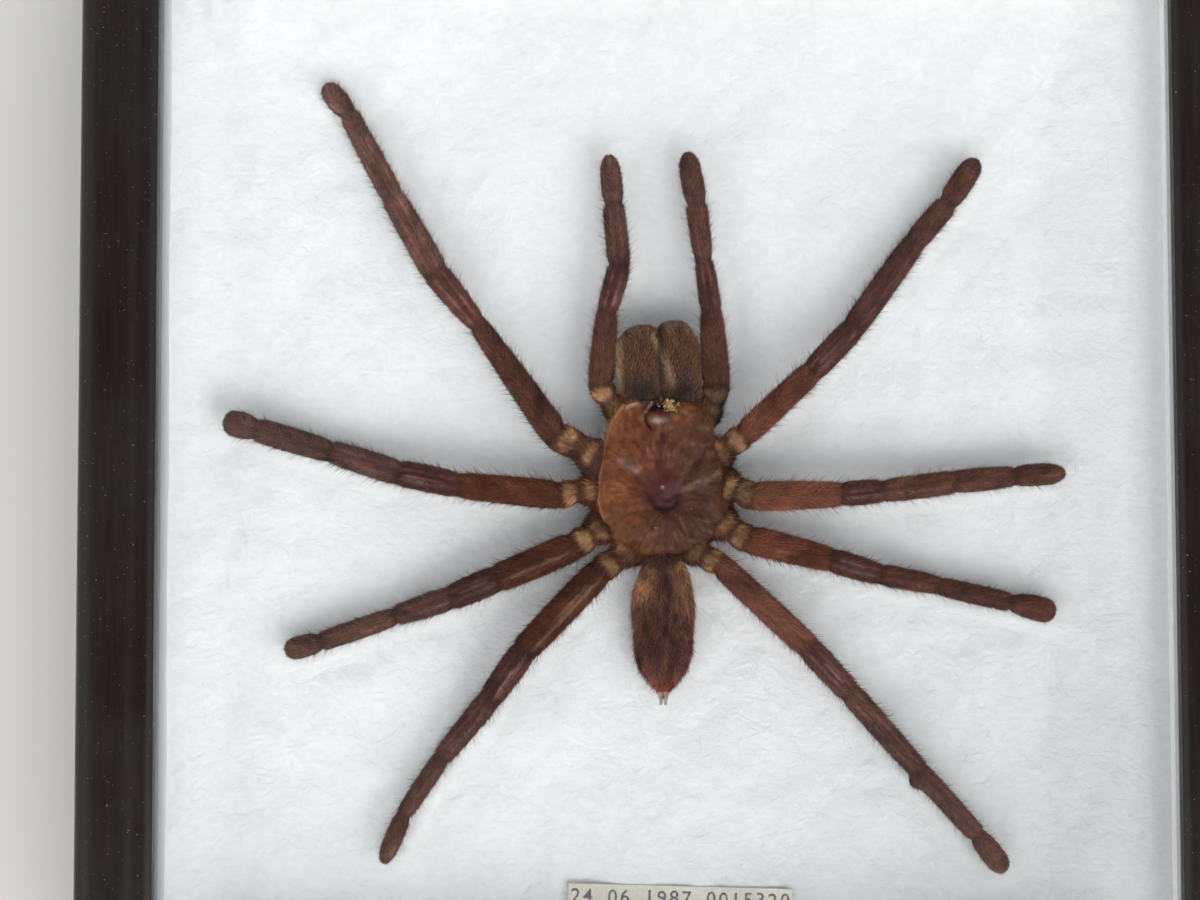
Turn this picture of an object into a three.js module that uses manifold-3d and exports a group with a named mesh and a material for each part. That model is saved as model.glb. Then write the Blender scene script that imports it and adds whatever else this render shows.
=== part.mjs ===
// Framed tarantula specimen: a dried spider on cotton wadding in a glazed box frame.
// Millimetres, +Z up. The frame lies on its back, glass upward, with the spider's head toward +Y.
// The origin is the middle of the rear face's square, on the surface that the frame rests on.
import * as THREE from 'three';
import { mergeVertices } from 'three/addons/utils/BufferGeometryUtils.js';
import Module from 'manifold-3d';

const wasm = await Module();
wasm.setup();

// ---------------------------------------------------------------- driving dimensions
const FRAME_SIDE = 200; // outside edge of the square frame
const FRAME_DEPTH = 30; // rear face to the crest of the moulding
const RAIL_WIDTH = 13.25; // moulding seen from the front
const RABBET_WIDTH = 4.5; // how far the lip reaches over the glass
const LIP_UNDERSIDE = 26.3; // height of the lip's lower face
const GLASS_THICKNESS = 2;
const BOARD_THICKNESS = 2.5;
const BOARD_RECESS = 3; // rear face of the board, above the rails' rear face
const GAP = 0.3; // clearance between neighbouring pieces

const HALF_SIDE = FRAME_SIDE / 2;
const HALF_OPENING = HALF_SIDE - RAIL_WIDTH;
const HALF_PACKAGE = HALF_OPENING + RABBET_WIDTH - GAP; // glass and board, inside the rabbet
const GLASS_BOTTOM = LIP_UNDERSIDE - GAP - GLASS_THICKNESS;
const BOARD_TOP = BOARD_RECESS + BOARD_THICKNESS;

// Height of the wadding, before its lumps and its rise along the walls.
const COTTON_LEVEL = 13.4;
const COTTON_LUMP = 0.22;
const COTTON_CELLS = 14;

const LABEL = { width: 39.2, height: 6.5, thickness: 0.25, x: 2.6, y: -75.9, z: 14.55, tilt: -1.6 };

const HANGER = { length: 46, width: 9, thickness: 0.8, rise: 1.0, foot: 8, y: 72, teeth: 9 };
const RIVET = { headRadius: 2.2, headThickness: 0.6, shankRadius: 1.2, inset: 4 };
const POINT = { length: 11, width: 6, thickness: 0.5, driven: 4, spread: 52 };

const HIP_HEIGHT = 17.8; // where the limbs leave the body
const LIMB_SIDES = 8;
const BODY_SIDES = 16;
const CARAPACE_SIDES = 26;
const CARAPACE_STEPS = 2; // rings from one cross-section to the next
const JOINT_PINCH = 0.16; // how much a limb narrows at a joint
const LIMB_FLATNESS = 0.92; // a limb's thickness over its width

// Joints of each limb from the hip outward: [x, y, height, width of the limb there].
// Legs: coxa, trochanter, femur, patella, tibia, metatarsus, tarsus, tip. Palps have no metatarsus.
const LIMBS = {
  palp_left: [
    [-7.2, 10.4, 17.6, 4.6], [-9.6, 12.4, 17.8, 4.4], [-11.4, 15, 18, 4.8], [-10, 28, 18.6, 4.2],
    [-7.8, 36, 18.4, 4.6], [-8.8, 47, 18.2, 4.3], [-9.6, 55.8, 18.4, 3.6],
  ],
  palp_right: [
    [7, 10.4, 17.6, 4.6], [8.8, 12.2, 17.8, 4.4], [9.5, 15, 18, 5], [8.4, 28, 18.6, 4.2],
    [7, 37, 18.4, 3.8], [5.8, 47, 18.2, 4.4], [4.2, 56.2, 18.6, 3.9],
  ],
  leg_left_1: [
    [-10.8, 1.6, 17.8, 6], [-15, 4.3, 18.2, 5.6], [-19, 6.4, 18.6, 5.7], [-32.5, 25.6, 19.6, 4.1],
    [-40, 34.8, 18.8, 5.4], [-47.7, 48.5, 17.8, 4.8], [-55.6, 63.4, 17.4, 4.2], [-59.8, 68.6, 17.2, 3.9],
  ],
  leg_left_2: [
    [-11.2, -3.2, 17.8, 5.4], [-15.2, -3.4, 18.2, 4.8], [-18.2, -4.1, 18.6, 5.5], [-35.5, -2.4, 19.6, 5.1],
    [-46.4, -0.2, 18.8, 5.1], [-58.4, 3.6, 17.8, 4.6], [-71.4, 7.5, 18.6, 4.9], [-76.9, 9.1, 19.4, 4.6],
  ],
  leg_left_3: [
    [-10.2, -9, 17.8, 5.2], [-13, -10.9, 18.2, 5], [-15.4, -12.8, 18.6, 5.7], [-29, -18.5, 19.4, 5.5],
    [-37.5, -22, 18.6, 5], [-47, -25.1, 17.6, 4], [-60, -29.6, 17.2, 4.1], [-66.4, -31.2, 17.1, 4.2],
  ],
  leg_left_4: [
    [-5.6, -13, 17.6, 5], [-8.3, -15.2, 18, 5], [-11.2, -17.2, 18.4, 5.6], [-24.5, -31, 19.4, 5.4],
    [-30.5, -39.4, 18.6, 4.8], [-39, -49.8, 17.6, 3.9], [-45.5, -59.5, 17.1, 3.6], [-49.2, -68.1, 17, 3.3],
  ],
  leg_right_1: [
    [8.6, 2.6, 17.8, 5.2], [11.2, 4.3, 18.2, 5], [13.8, 6.2, 18.6, 5.1], [25.6, 17.2, 19.6, 4.8],
    [33.1, 25, 18.8, 5], [44, 40, 17.8, 4.7], [50.1, 47.2, 17.6, 4.5], [55.4, 55, 17.6, 4.2],
  ],
  leg_right_2: [
    [10.4, -2.6, 17.8, 5.2], [12.8, -3.3, 18.2, 5], [15.2, -4.4, 18.6, 5.7], [30.6, -4.1, 19.6, 4.9],
    [38, -3.5, 18.8, 4.6], [50.6, -2, 18, 4.7], [61, -1, 18.4, 4.3], [69.9, -0.4, 19, 3.8],
  ],
  leg_right_3: [
    [9.4, -8.6, 17.8, 5.2], [11.8, -10.3, 18.2, 5], [14.6, -11.9, 18.6, 5.7], [28.6, -15.4, 19.4, 4.9],
    [37.4, -18, 18.6, 4.4], [47.6, -20, 17.6, 3.9], [60.4, -23, 17.2, 4], [68.3, -24.8, 17.2, 4.3],
  ],
  leg_right_4: [
    [4.4, -12.8, 17.6, 5], [6.8, -14.7, 18, 4.8], [9.6, -16.2, 18.4, 4.8], [24.6, -30.4, 19.6, 5],
    [32, -38.4, 19, 4.7], [44, -52, 18.4, 4.2], [54.1, -63.2, 17.6, 4], [59, -69.6, 17.2, 4.2],
  ],
};

// Body divisions as cross-sections from rear to front: [y, middle x, half width, underside z, top z].
const CARAPACE = [
  [-15.2, -0.4, 4.2, 16.6, 18.6], [-14.2, -0.4, 7.4, 15.7, 19.6], [-11.4, -0.2, 10.2, 15, 20.4],
  [-7, 0, 12.1, 14.7, 21], [-3, -0.4, 11.7, 14.7, 21.3], [1, -0.5, 11.1, 14.7, 21.5],
  [5, -0.7, 10.1, 14.8, 21.7], [8.6, -0.7, 9.1, 15, 21.8], [11.4, -0.7, 7.9, 15.6, 21.6], [12.5, -0.7, 7, 16.6, 20.8],
];
const ABDOMEN = [
  [-39.6, -0.3, 0.8, 16.2, 17.3], [-38, -0.3, 2, 15.8, 18], [-35.6, -0.3, 3.8, 15.2, 19],
  [-32.6, -0.3, 5.2, 14.8, 19.8], [-28.5, -0.3, 5.8, 14.6, 20.2], [-23, -0.3, 6.1, 14.6, 20.4],
  [-18.5, -0.2, 5.4, 14.8, 20.2], [-16, -0.2, 4, 15.4, 19.6], [-14.6, -0.2, 2.2, 16.4, 18.6],
];
const CHELICERA = [
  [11.4, 0, 2.9, 16.2, 19.8], [13, 0, 3.5, 15.4, 21], [17, -0.3, 3.7, 15, 21.9], [21, -0.6, 3.7, 14.9, 21.9],
  [24, -0.7, 3.3, 15.2, 21.2], [25.8, -0.7, 2.3, 16, 20], [26.6, -0.7, 1, 17, 18.6],
];
const CHELICERA_MIDDLE = { left: -4.2, right: 3.1 };

// Relief of the carapace: the eye tubercle, the raised head and the central pit, as [x, y, radius, height].
const CARAPACE_BUMPS = [[-0.7, 10.6, 1.7, 0.9], [-0.6, 4.5, 4.5, 0.5], [-0.1, -5.8, 2, -1.3]];
// Grooves that run from the central pit to the gaps between the hips, as headings in degrees.
const CARAPACE_PIT = { x: -0.1, y: -5.8 };
const CARAPACE_GROOVES = { headings: [62, 118, 22, 158, -18, 198, -55, 235], depth: 0.45, halfWidth: 0.9, reach: 10 };

// ---------------------------------------------------------------- materials
function finish(color, roughness, metalness = 0) {
  return new THREE.MeshStandardMaterial({ color, roughness, metalness });
}
const LACQUER = finish(0x262322, 0.35);
const CARD = finish(0xd9d8d4, 0.9);
const HARDBOARD = finish(0x6b4a30, 0.85);
const STEEL = finish(0xa9abad, 0.35, 1);
const BRASS = finish(0xb39a5c, 0.35, 1);
const COTTON = finish(0xeceeee, 1);
const PAPER = finish(0xe0dcca, 0.9);
const GLASS = finish(0xe8eeee, 0.05);
const SHIELD = finish(0x6b4030, 0.55);
const JAW = finish(0x5a4233, 0.7);
const LEG_HAIR = finish(0x54392f, 0.8);
const BELLY_HAIR = finish(0x5c3d2c, 0.85);

// ---------------------------------------------------------------- shared makers
const group = new THREE.Group();

function add(name, geometry, material) {
  const mesh = new THREE.Mesh(geometry, material);
  mesh.name = name;
  group.add(mesh);
  return mesh;
}

// A geometry with its shared corners merged, which a boolean needs.
function welded(geometry) {
  const bare = geometry.clone();
  bare.deleteAttribute('normal');
  bare.deleteAttribute('uv');
  return mergeVertices(bare, 1e-5);
}

function solidOf(geometry) {
  const closed = welded(geometry);
  const vertProperties = new Float32Array(closed.attributes.position.array);
  const triVerts = new Uint32Array(closed.index.array);
  return new wasm.Manifold(new wasm.Mesh({ numProp: 3, vertProperties, triVerts }));
}

function geometryOf(solid) {
  const mesh = solid.getMesh();
  const geometry = new THREE.BufferGeometry();
  geometry.setAttribute('position', new THREE.BufferAttribute(new Float32Array(mesh.vertProperties), 3));
  geometry.setIndex(Array.from(mesh.triVerts));
  return geometry;
}

function box(width, depth, height, x, y, z) {
  const geometry = new THREE.BoxGeometry(width, depth, height);
  geometry.translate(x, y, z);
  return geometry;
}

function verticalCylinder(radius, bottom, top, x, y, sides = 16) {
  const geometry = new THREE.CylinderGeometry(radius, radius, top - bottom, sides);
  geometry.rotateX(Math.PI / 2);
  geometry.translate(x, y, (bottom + top) / 2);
  return geometry;
}

// A closed skin over cross-sections, each { centre, side, up, half, below, above }.
// It is a cylinder whose rings are moved onto the cross-sections; side x along is up.
function loft(sections, sides) {
  const last = sections.length - 1;
  const geometry = new THREE.CylinderGeometry(1, 1, last, sides, last);
  const position = geometry.attributes.position;
  const point = new THREE.Vector3();
  for (let i = 0; i < position.count; i += 1) {
    const section = sections[Math.round(position.getY(i) + last / 2)];
    const across = position.getX(i) * section.half;
    const lift = position.getZ(i);
    point.copy(section.centre);
    point.addScaledVector(section.side, across);
    point.addScaledVector(section.up, lift * (lift > 0 ? section.above : section.below));
    position.setXYZ(i, point.x, point.y, point.z);
  }
  return welded(geometry);
}

// Rows with further rows spaced evenly between each pair.
function subdivided(rows, steps) {
  const denser = [rows[0]];
  for (let i = 1; i < rows.length; i += 1) {
    for (let step = 1; step <= steps; step += 1) {
      denser.push(rows[i].map((value, k) => THREE.MathUtils.lerp(rows[i - 1][k], value, step / steps)));
    }
  }
  return denser;
}

// A body division along +Y. "grow" makes the larger copy that its neighbours are cut with.
function division(rows, middle, grow = 0, sides = BODY_SIDES) {
  const first = rows[0];
  const final = rows[rows.length - 1];
  const sections = rows.map(([y, x, half, bottom, top]) => {
    const shift = (y === first[0] ? -grow : 0) + (y === final[0] ? grow : 0);
    const height = (bottom + top) / 2;
    return {
      centre: new THREE.Vector3(x + middle, y + shift, height),
      side: new THREE.Vector3(1, 0, 0),
      up: new THREE.Vector3(0, 0, 1),
      half: half + grow,
      below: height - bottom + grow,
      above: top - height + grow,
    };
  });
  return loft(sections, sides);
}

// ---------------------------------------------------------------- box frame
// The moulding's section, from its outer face inward: [distance in, height].
const MOULDING = [
  [0, 0], [0, 27.6], [0.7, 29.1], [2.2, 29.9], [4, FRAME_DEPTH], [6.4, 29.75], [8.6, 29.4], [10.4, 28.9],
  [12.2, 28.6], [RAIL_WIDTH, 28], [RAIL_WIDTH, LIP_UNDERSIDE], [RAIL_WIDTH - RABBET_WIDTH, LIP_UNDERSIDE],
  [RAIL_WIDTH - RABBET_WIDTH, 0],
];

// A mitred rail along X at the frame's +Y side, later turned to its own side.
function railGeometry() {
  const section = new THREE.Shape(MOULDING.map(([inward, height]) => new THREE.Vector2(inward, height)));
  const geometry = new THREE.ExtrudeGeometry(section, { depth: 1, bevelEnabled: false });
  const position = geometry.attributes.position;
  for (let i = 0; i < position.count; i += 1) {
    const inward = position.getX(i);
    const height = position.getY(i);
    const end = position.getZ(i) > 0.5 ? -1 : 1;
    position.setXYZ(i, end * (HALF_SIDE - inward - GAP / Math.SQRT2), HALF_SIDE - inward, height);
  }
  return geometry;
}

const POINT_TOP = BOARD_RECESS - GAP;
const RABBET_WALL = HALF_SIDE - RAIL_WIDTH + RABBET_WIDTH;

function pointGeometry(along, margin) {
  const reach = POINT.length + margin;
  const middle = RABBET_WALL + POINT.driven + margin - reach / 2;
  return box(
    POINT.width + 2 * margin, reach, POINT.thickness + 2 * margin,
    along, middle, POINT_TOP - POINT.thickness / 2,
  );
}

const SIDES = [['top', 0], ['left', 1], ['bottom', 2], ['right', 3]];
let pointNumber = 0;
for (const [side, quarterTurns] of SIDES) {
  const turn = (quarterTurns * Math.PI) / 2;
  let rail = solidOf(railGeometry());
  for (const along of [-POINT.spread, POINT.spread]) {
    rail = rail.subtract(solidOf(pointGeometry(along, GAP)));
    pointNumber += 1;
    add(`point_${pointNumber}`, pointGeometry(along, 0), STEEL).rotation.z = turn;
  }
  add(`rail_${side}`, geometryOf(rail), LACQUER).rotation.z = turn;
}

add('glass_pane', box(2 * HALF_PACKAGE, 2 * HALF_PACKAGE, GLASS_THICKNESS, 0, 0, GLASS_BOTTOM + GLASS_THICKNESS / 2), GLASS);

// Card spacers between the board and the glass, flush with the moulding's sight edge.
const LINER_THICKNESS = HALF_PACKAGE - HALF_OPENING;
const LINER_BOTTOM = BOARD_TOP + GAP;
const LINER_HEIGHT = GLASS_BOTTOM - GAP - LINER_BOTTOM;
const LINER_MIDDLE = HALF_OPENING + LINER_THICKNESS / 2;
for (const [side, sign] of [['left', -1], ['right', 1]]) {
  add(`liner_${side}`, box(LINER_THICKNESS, 2 * HALF_PACKAGE, LINER_HEIGHT,
    sign * LINER_MIDDLE, 0, LINER_BOTTOM + LINER_HEIGHT / 2), CARD);
}
for (const [side, sign] of [['bottom', -1], ['top', 1]]) {
  add(`liner_${side}`, box(2 * (HALF_OPENING - GAP), LINER_THICKNESS, LINER_HEIGHT,
    0, sign * LINER_MIDDLE, LINER_BOTTOM + LINER_HEIGHT / 2), CARD);
}

// ---------------------------------------------------------------- back of the case
const HANGER_FOOT_BOTTOM = BOARD_RECESS - GAP - HANGER.thickness;
const RIVET_X = HANGER.length / 2 - RIVET.inset;
const RIVET_HEAD_TOP = HANGER_FOOT_BOTTOM - GAP;

function rivetHoles(solid) {
  let drilled = solid;
  for (const x of [-RIVET_X, RIVET_X]) {
    drilled = drilled.subtract(
      solidOf(verticalCylinder(RIVET.shankRadius + GAP, -1, BOARD_TOP + 1, x, HANGER.y)),
    );
  }
  return drilled;
}

const board = box(2 * HALF_PACKAGE, 2 * HALF_PACKAGE, BOARD_THICKNESS, 0, 0, BOARD_RECESS + BOARD_THICKNESS / 2);
add('backing_board', geometryOf(rivetHoles(solidOf(board))), HARDBOARD);

// A joggled steel strip with a serrated edge: its feet lie on the board and its middle stands off it.
function hangerGeometry() {
  const half = HANGER.length / 2;
  const bend = half - HANGER.foot;
  const high = HANGER_FOOT_BOTTOM + HANGER.thickness;
  const low = HANGER_FOOT_BOTTOM;
  const outline = [
    [-half, high], [-half, low], [-bend, low], [-bend + 1, low - HANGER.rise], [bend - 1, low - HANGER.rise],
    [bend, low], [half, low], [half, high], [bend - 0.3, high], [bend - 1.3, high - HANGER.rise],
    [-bend + 1.3, high - HANGER.rise], [-bend + 0.3, high],
  ];
  const section = new THREE.Shape(outline.map(([x, z]) => new THREE.Vector2(x, z)));
  const strip = new THREE.ExtrudeGeometry(section, { depth: HANGER.width, bevelEnabled: false });
  strip.rotateX(Math.PI / 2);
  strip.translate(0, HANGER.y + HANGER.width / 2, 0);
  let plate = rivetHoles(solidOf(strip));
  const pitch = (2 * (bend - 2)) / HANGER.teeth;
  for (let tooth = 0; tooth < HANGER.teeth; tooth += 1) {
    const notch = new THREE.CylinderGeometry(pitch * 0.5, pitch * 0.5, 4, 4);
    notch.rotateX(Math.PI / 2);
    notch.translate(-bend + 2 + pitch * (tooth + 0.5), HANGER.y - HANGER.width / 2, low);
    plate = plate.subtract(solidOf(notch));
  }
  return geometryOf(plate);
}
add('hanger_plate', hangerGeometry(), STEEL);

for (const [side, x] of [['left', RIVET_X], ['right', -RIVET_X]]) {
  const head = verticalCylinder(RIVET.headRadius, RIVET_HEAD_TOP - RIVET.headThickness, RIVET_HEAD_TOP, x, HANGER.y);
  const shank = verticalCylinder(RIVET.shankRadius, RIVET_HEAD_TOP - RIVET.headThickness / 2, BOARD_TOP, x, HANGER.y);
  add(`hanger_rivet_${side}`, geometryOf(solidOf(head).add(solidOf(shank))), BRASS);
}

// ---------------------------------------------------------------- wadding and label
function rise(distance, width) {
  const share = Math.min(Math.max(distance / width, 0), 1);
  return share * share * (3 - 2 * share);
}

// Height of the wadding at a place: low lumps, and a swell where it is pressed against each wall.
function cottonHeight(x, y) {
  const lumps = Math.sin(x / 11 + 1.3) * Math.cos(y / 13)
    + Math.sin(x / 6.1 - y / 8.3)
    + Math.cos(x / 17 + y / 9 + 0.7);
  const swell = Math.max(
    4.5 * rise(-x - 80, 7), 8.5 * rise(x - 73, 14), 5.5 * rise(y - 73, 13), 3 * rise(-y - 81, 6),
  );
  return COTTON_LEVEL + COTTON_LUMP * lumps + swell;
}

const HALF_COTTON = HALF_OPENING - GAP;
const COTTON_BOTTOM = BOARD_TOP + GAP;
const cotton = new THREE.BoxGeometry(2, 2, 2, COTTON_CELLS, COTTON_CELLS, 1);
const cottonPosition = cotton.attributes.position;
for (let i = 0; i < cottonPosition.count; i += 1) {
  // Cells are closest near the walls, where the wadding swells.
  const [x, y] = [cottonPosition.getX(i), cottonPosition.getY(i)].map((t) => HALF_COTTON * (1.5 * t - 0.5 * t ** 3));
  cottonPosition.setXYZ(i, x, y, cottonPosition.getZ(i) > 0 ? cottonHeight(x, y) : COTTON_BOTTOM);
}
add('cotton_bed', cotton, COTTON);

const label = add('label', box(LABEL.width, LABEL.height, LABEL.thickness, 0, 0, 0), PAPER);
label.position.set(LABEL.x, LABEL.y, LABEL.z);
label.rotation.z = THREE.MathUtils.degToRad(LABEL.tilt);

// ---------------------------------------------------------------- spider
// How far the top of the carapace stands above its plain dome.
function carapaceRelief(x, y) {
  let lift = 0;
  for (const [bumpX, bumpY, radius, height] of CARAPACE_BUMPS) {
    lift += height * Math.exp(-((x - bumpX) ** 2 + (y - bumpY) ** 2) / radius ** 2);
  }
  for (const heading of CARAPACE_GROOVES.headings) {
    const angle = THREE.MathUtils.degToRad(heading);
    const out = (x - CARAPACE_PIT.x) * Math.cos(angle) + (y - CARAPACE_PIT.y) * Math.sin(angle);
    const aside = (y - CARAPACE_PIT.y) * Math.cos(angle) - (x - CARAPACE_PIT.x) * Math.sin(angle);
    const fade = out > 0 ? Math.max(0, 1 - out / CARAPACE_GROOVES.reach) : 0;
    lift -= CARAPACE_GROOVES.depth * fade * Math.exp(-((aside / CARAPACE_GROOVES.halfWidth) ** 2));
  }
  return lift;
}

function carapaceGeometry(grow = 0) {
  const geometry = division(subdivided(CARAPACE, CARAPACE_STEPS), 0, grow, CARAPACE_SIDES);
  const position = geometry.attributes.position;
  for (let i = 0; i < position.count; i += 1) {
    const height = position.getZ(i);
    if (height > HIP_HEIGHT + 1) {
      position.setZ(i, height + carapaceRelief(position.getX(i), position.getY(i)));
    }
  }
  return geometry;
}

// One jaw with the fang folded under it.
function cheliceraSolid(middle, grow = 0) {
  const jaw = solidOf(division(CHELICERA, middle, grow));
  const fangPath = new THREE.CatmullRomCurve3([
    new THREE.Vector3(middle - 0.7, 24.4, 18), new THREE.Vector3(middle - 0.7, 24, 15.8),
    new THREE.Vector3(middle - 0.5, 21, 15.05), new THREE.Vector3(middle - 0.2, 17.4, 14.75),
  ]);
  const rings = 9;
  const sections = [];
  for (let ring = 0; ring < rings; ring += 1) {
    const share = ring / (rings - 1);
    const along = fangPath.getTangent(share);
    const side = new THREE.Vector3(1, 0, 0);
    const up = new THREE.Vector3().crossVectors(side, along).normalize();
    const radius = 1.1 * (1 - share) + 0.2 + grow;
    sections.push({ centre: fangPath.getPoint(share), side, up, half: radius, below: radius, above: radius });
  }
  return jaw.add(solidOf(loft(sections, 6)));
}

// A limb as rings along its joints: narrow at each joint, full between them, and rounded at the tip.
function limbGeometry(joints, grow = 0) {
  const points = joints.map(([x, y, z]) => new THREE.Vector3(x, y, z));
  const widths = joints.map((joint) => joint[3]);
  const sections = [];
  function ring(centre, along, width) {
    const side = new THREE.Vector3().crossVectors(along, new THREE.Vector3(0, 0, 1)).normalize();
    const up = new THREE.Vector3().crossVectors(side, along).normalize();
    const radius = width / 2 + grow;
    sections.push({ centre, side, up, half: radius, below: radius * LIMB_FLATNESS, above: radius * LIMB_FLATNESS });
  }
  const last = joints.length - 1;
  for (let i = 0; i < last; i += 1) {
    const ahead = points[i + 1].clone().sub(points[i]).normalize();
    const behind = i > 0 ? points[i].clone().sub(points[i - 1]).normalize() : ahead;
    ring(points[i].clone(), ahead.clone().add(behind).normalize(), widths[i] * (1 - JOINT_PINCH));
    const shares = i < 2 ? [0.5] : [0.18, 0.5, 0.82];
    for (const share of shares) {
      const width = THREE.MathUtils.lerp(widths[i], widths[i + 1], share);
      ring(points[i].clone().lerp(points[i + 1], share), ahead, width);
    }
    if (i === last - 1) {
      for (const [share, fullness] of [[0.93, 0.86], [0.98, 0.6], [1, 0.25]]) {
        ring(points[i].clone().lerp(points[i + 1], share), ahead, widths[last] * fullness);
      }
    }
  }
  return loft(sections, LIMB_SIDES);
}

// Each piece is cut back to a clearance from the pieces that are already placed.
const placed = [];
function addClear(name, solid, grown, material) {
  let piece = solid;
  for (const neighbour of placed) {
    piece = piece.subtract(neighbour);
  }
  placed.push(grown);
  add(name, geometryOf(piece), material);
}

addClear('carapace', solidOf(carapaceGeometry()), solidOf(carapaceGeometry(GAP)), SHIELD);
for (const [side, middle] of Object.entries(CHELICERA_MIDDLE)) {
  addClear(`chelicera_${side}`, cheliceraSolid(middle), cheliceraSolid(middle, GAP), JAW);
}

// The abdomen with its pair of spinnerets.
function abdomenSolid(grow = 0) {
  let solid = solidOf(division(ABDOMEN, 0, grow));
  for (const side of [-1, 1]) {
    const spinneret = new THREE.CapsuleGeometry(0.55 + grow, 2.4, 2, 6);
    spinneret.rotateZ(side * 0.22);
    spinneret.translate(-0.3 + side * 0.5, -39.8, 16.8);
    solid = solid.add(solidOf(spinneret));
  }
  return solid;
}
addClear('abdomen', abdomenSolid(), abdomenSolid(GAP), BELLY_HAIR);

for (const [name, joints] of Object.entries(LIMBS)) {
  addClear(name, solidOf(limbGeometry(joints)), solidOf(limbGeometry(joints, GAP)), LEG_HAIR);
}

export default group;
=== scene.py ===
# Framed tarantula specimen: a dried spider on cotton wadding in a glazed, black-lacquered box frame.
# Metres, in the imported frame: the case lies on its back, +Z out of the glass, +Y toward the spider's head.
import math

import bmesh
import bpy
import numpy as np
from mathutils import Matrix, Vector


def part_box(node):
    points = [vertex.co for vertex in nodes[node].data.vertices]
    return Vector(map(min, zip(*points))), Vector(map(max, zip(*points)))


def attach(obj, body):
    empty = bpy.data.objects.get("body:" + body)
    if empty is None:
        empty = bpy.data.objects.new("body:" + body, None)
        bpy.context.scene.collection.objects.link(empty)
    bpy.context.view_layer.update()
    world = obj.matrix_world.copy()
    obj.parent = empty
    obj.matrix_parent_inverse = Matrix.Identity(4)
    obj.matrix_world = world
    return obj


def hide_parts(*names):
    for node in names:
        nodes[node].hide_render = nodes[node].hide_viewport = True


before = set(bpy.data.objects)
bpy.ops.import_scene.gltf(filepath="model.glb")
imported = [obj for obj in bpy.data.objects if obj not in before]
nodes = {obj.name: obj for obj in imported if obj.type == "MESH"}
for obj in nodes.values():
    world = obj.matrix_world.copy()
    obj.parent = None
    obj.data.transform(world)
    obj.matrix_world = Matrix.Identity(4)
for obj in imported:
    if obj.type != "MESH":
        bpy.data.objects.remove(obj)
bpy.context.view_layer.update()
MM = 0.001


# ------------------------------------------------------------------ moulding
# Four lengths of wood moulding, mitred and glued at the corners and lacquered black. The face has a
# rounded outside shoulder, a crest and a gentle fall to the sight edge; a rabbet behind it takes the glass.
FACE = ((0, 27.6), (0.7, 29.1), (2.2, 29.9), (4, 30), (6.4, 29.75), (8.6, 29.4), (10.4, 28.9), (12.2, 28.6),
        (13.25, 28))
RABBET = ((13.25, 26.3), (8.75, 26.3), (8.75, 0.5), (8.3, 0), (0.6, 0), (0, 0.6))
MITRE_GAP = 0.08 * MM
half_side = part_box("rail_right")[1].x


def smooth_curve(points, per_span):
    """Points along a Catmull-Rom curve through the given ones."""
    knots = np.asarray(points, float)
    padded = np.vstack([2 * knots[0] - knots[1], knots, 2 * knots[-1] - knots[-2]])
    steps = (np.arange(per_span) / per_span)[:, None]
    spans = []
    for a, b, c, d in zip(padded, padded[1:], padded[2:], padded[3:]):
        spans.append(0.5 * (2 * b + (c - a) * steps + (2 * a - 5 * b + 4 * c - d) * steps ** 2
                            + (3 * b - a - 3 * c + d) * steps ** 3))
    return np.vstack(spans + [knots[-1:]])


def new_piece(name, points, faces, *materials):
    """A mesh object at the origin; its points are in metres."""
    mesh = bpy.data.meshes.new(name)
    mesh.from_pydata(np.asarray(points).tolist(), [], faces)
    for material in materials:
        mesh.materials.append(material)
    piece = bpy.data.objects.new(name, mesh)
    bpy.context.scene.collection.objects.link(piece)
    return piece


def smooth_faces(piece, angle=None):
    piece.data.polygons.foreach_set("use_smooth", [True] * len(piece.data.polygons))
    if angle is not None:
        piece.data.set_sharp_from_angle(angle=math.radians(angle))


def tube_faces(rings, sides):
    """Quads between rings of points, both ends closed. A ring turns from +X to +Z; the next is toward +Y."""
    faces = []
    for ring in range(rings - 1):
        low = ring * sides
        for side in range(sides):
            turned = (side + 1) % sides
            faces.append((low + side, low + sides + side, low + sides + turned, low + turned))
    last = (rings - 1) * sides
    return faces + [tuple(range(sides)), tuple(last + side for side in reversed(range(sides)))]


def new_material(name):
    """A material with its node tree and its Principled shader."""
    material = bpy.data.materials.new(name)
    material.use_nodes = True
    return material, material.node_tree, material.node_tree.nodes["Principled BSDF"]


def add_node(tree, kind, inputs=(), **settings):
    """A node with its settings and inputs; an input may be a value or another node's output."""
    node = tree.nodes.new(kind)
    for key, value in settings.items():
        setattr(node, key, value)
    for key, value in dict(inputs).items():
        if isinstance(value, bpy.types.NodeSocket):
            tree.links.new(value, node.inputs[key])
        else:
            node.inputs[key].default_value = value
    return node


def add_ramp(tree, factor, *stops):
    """A colour ramp; each stop is (position, colour or grey)."""
    ramp = add_node(tree, "ShaderNodeValToRGB", {"Fac": factor})
    elements = ramp.color_ramp.elements
    while len(elements) < len(stops):
        elements.new(0.5)
    for element, (position, colour) in zip(elements, stops):
        element.position = position
        grey = isinstance(colour, (int, float))
        element.color = (colour, colour, colour, 1) if grey else (*colour, 1)
    return ramp.outputs["Color"]


def add_range(tree, value, low, high, to_low=0.0, to_high=1.0):
    """A value's place between low and high, as a value between two others."""
    return add_node(tree, "ShaderNodeMapRange", {"Value": value, "From Min": low, "From Max": high,
                                                 "To Min": to_low, "To Max": to_high}).outputs["Result"]


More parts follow.
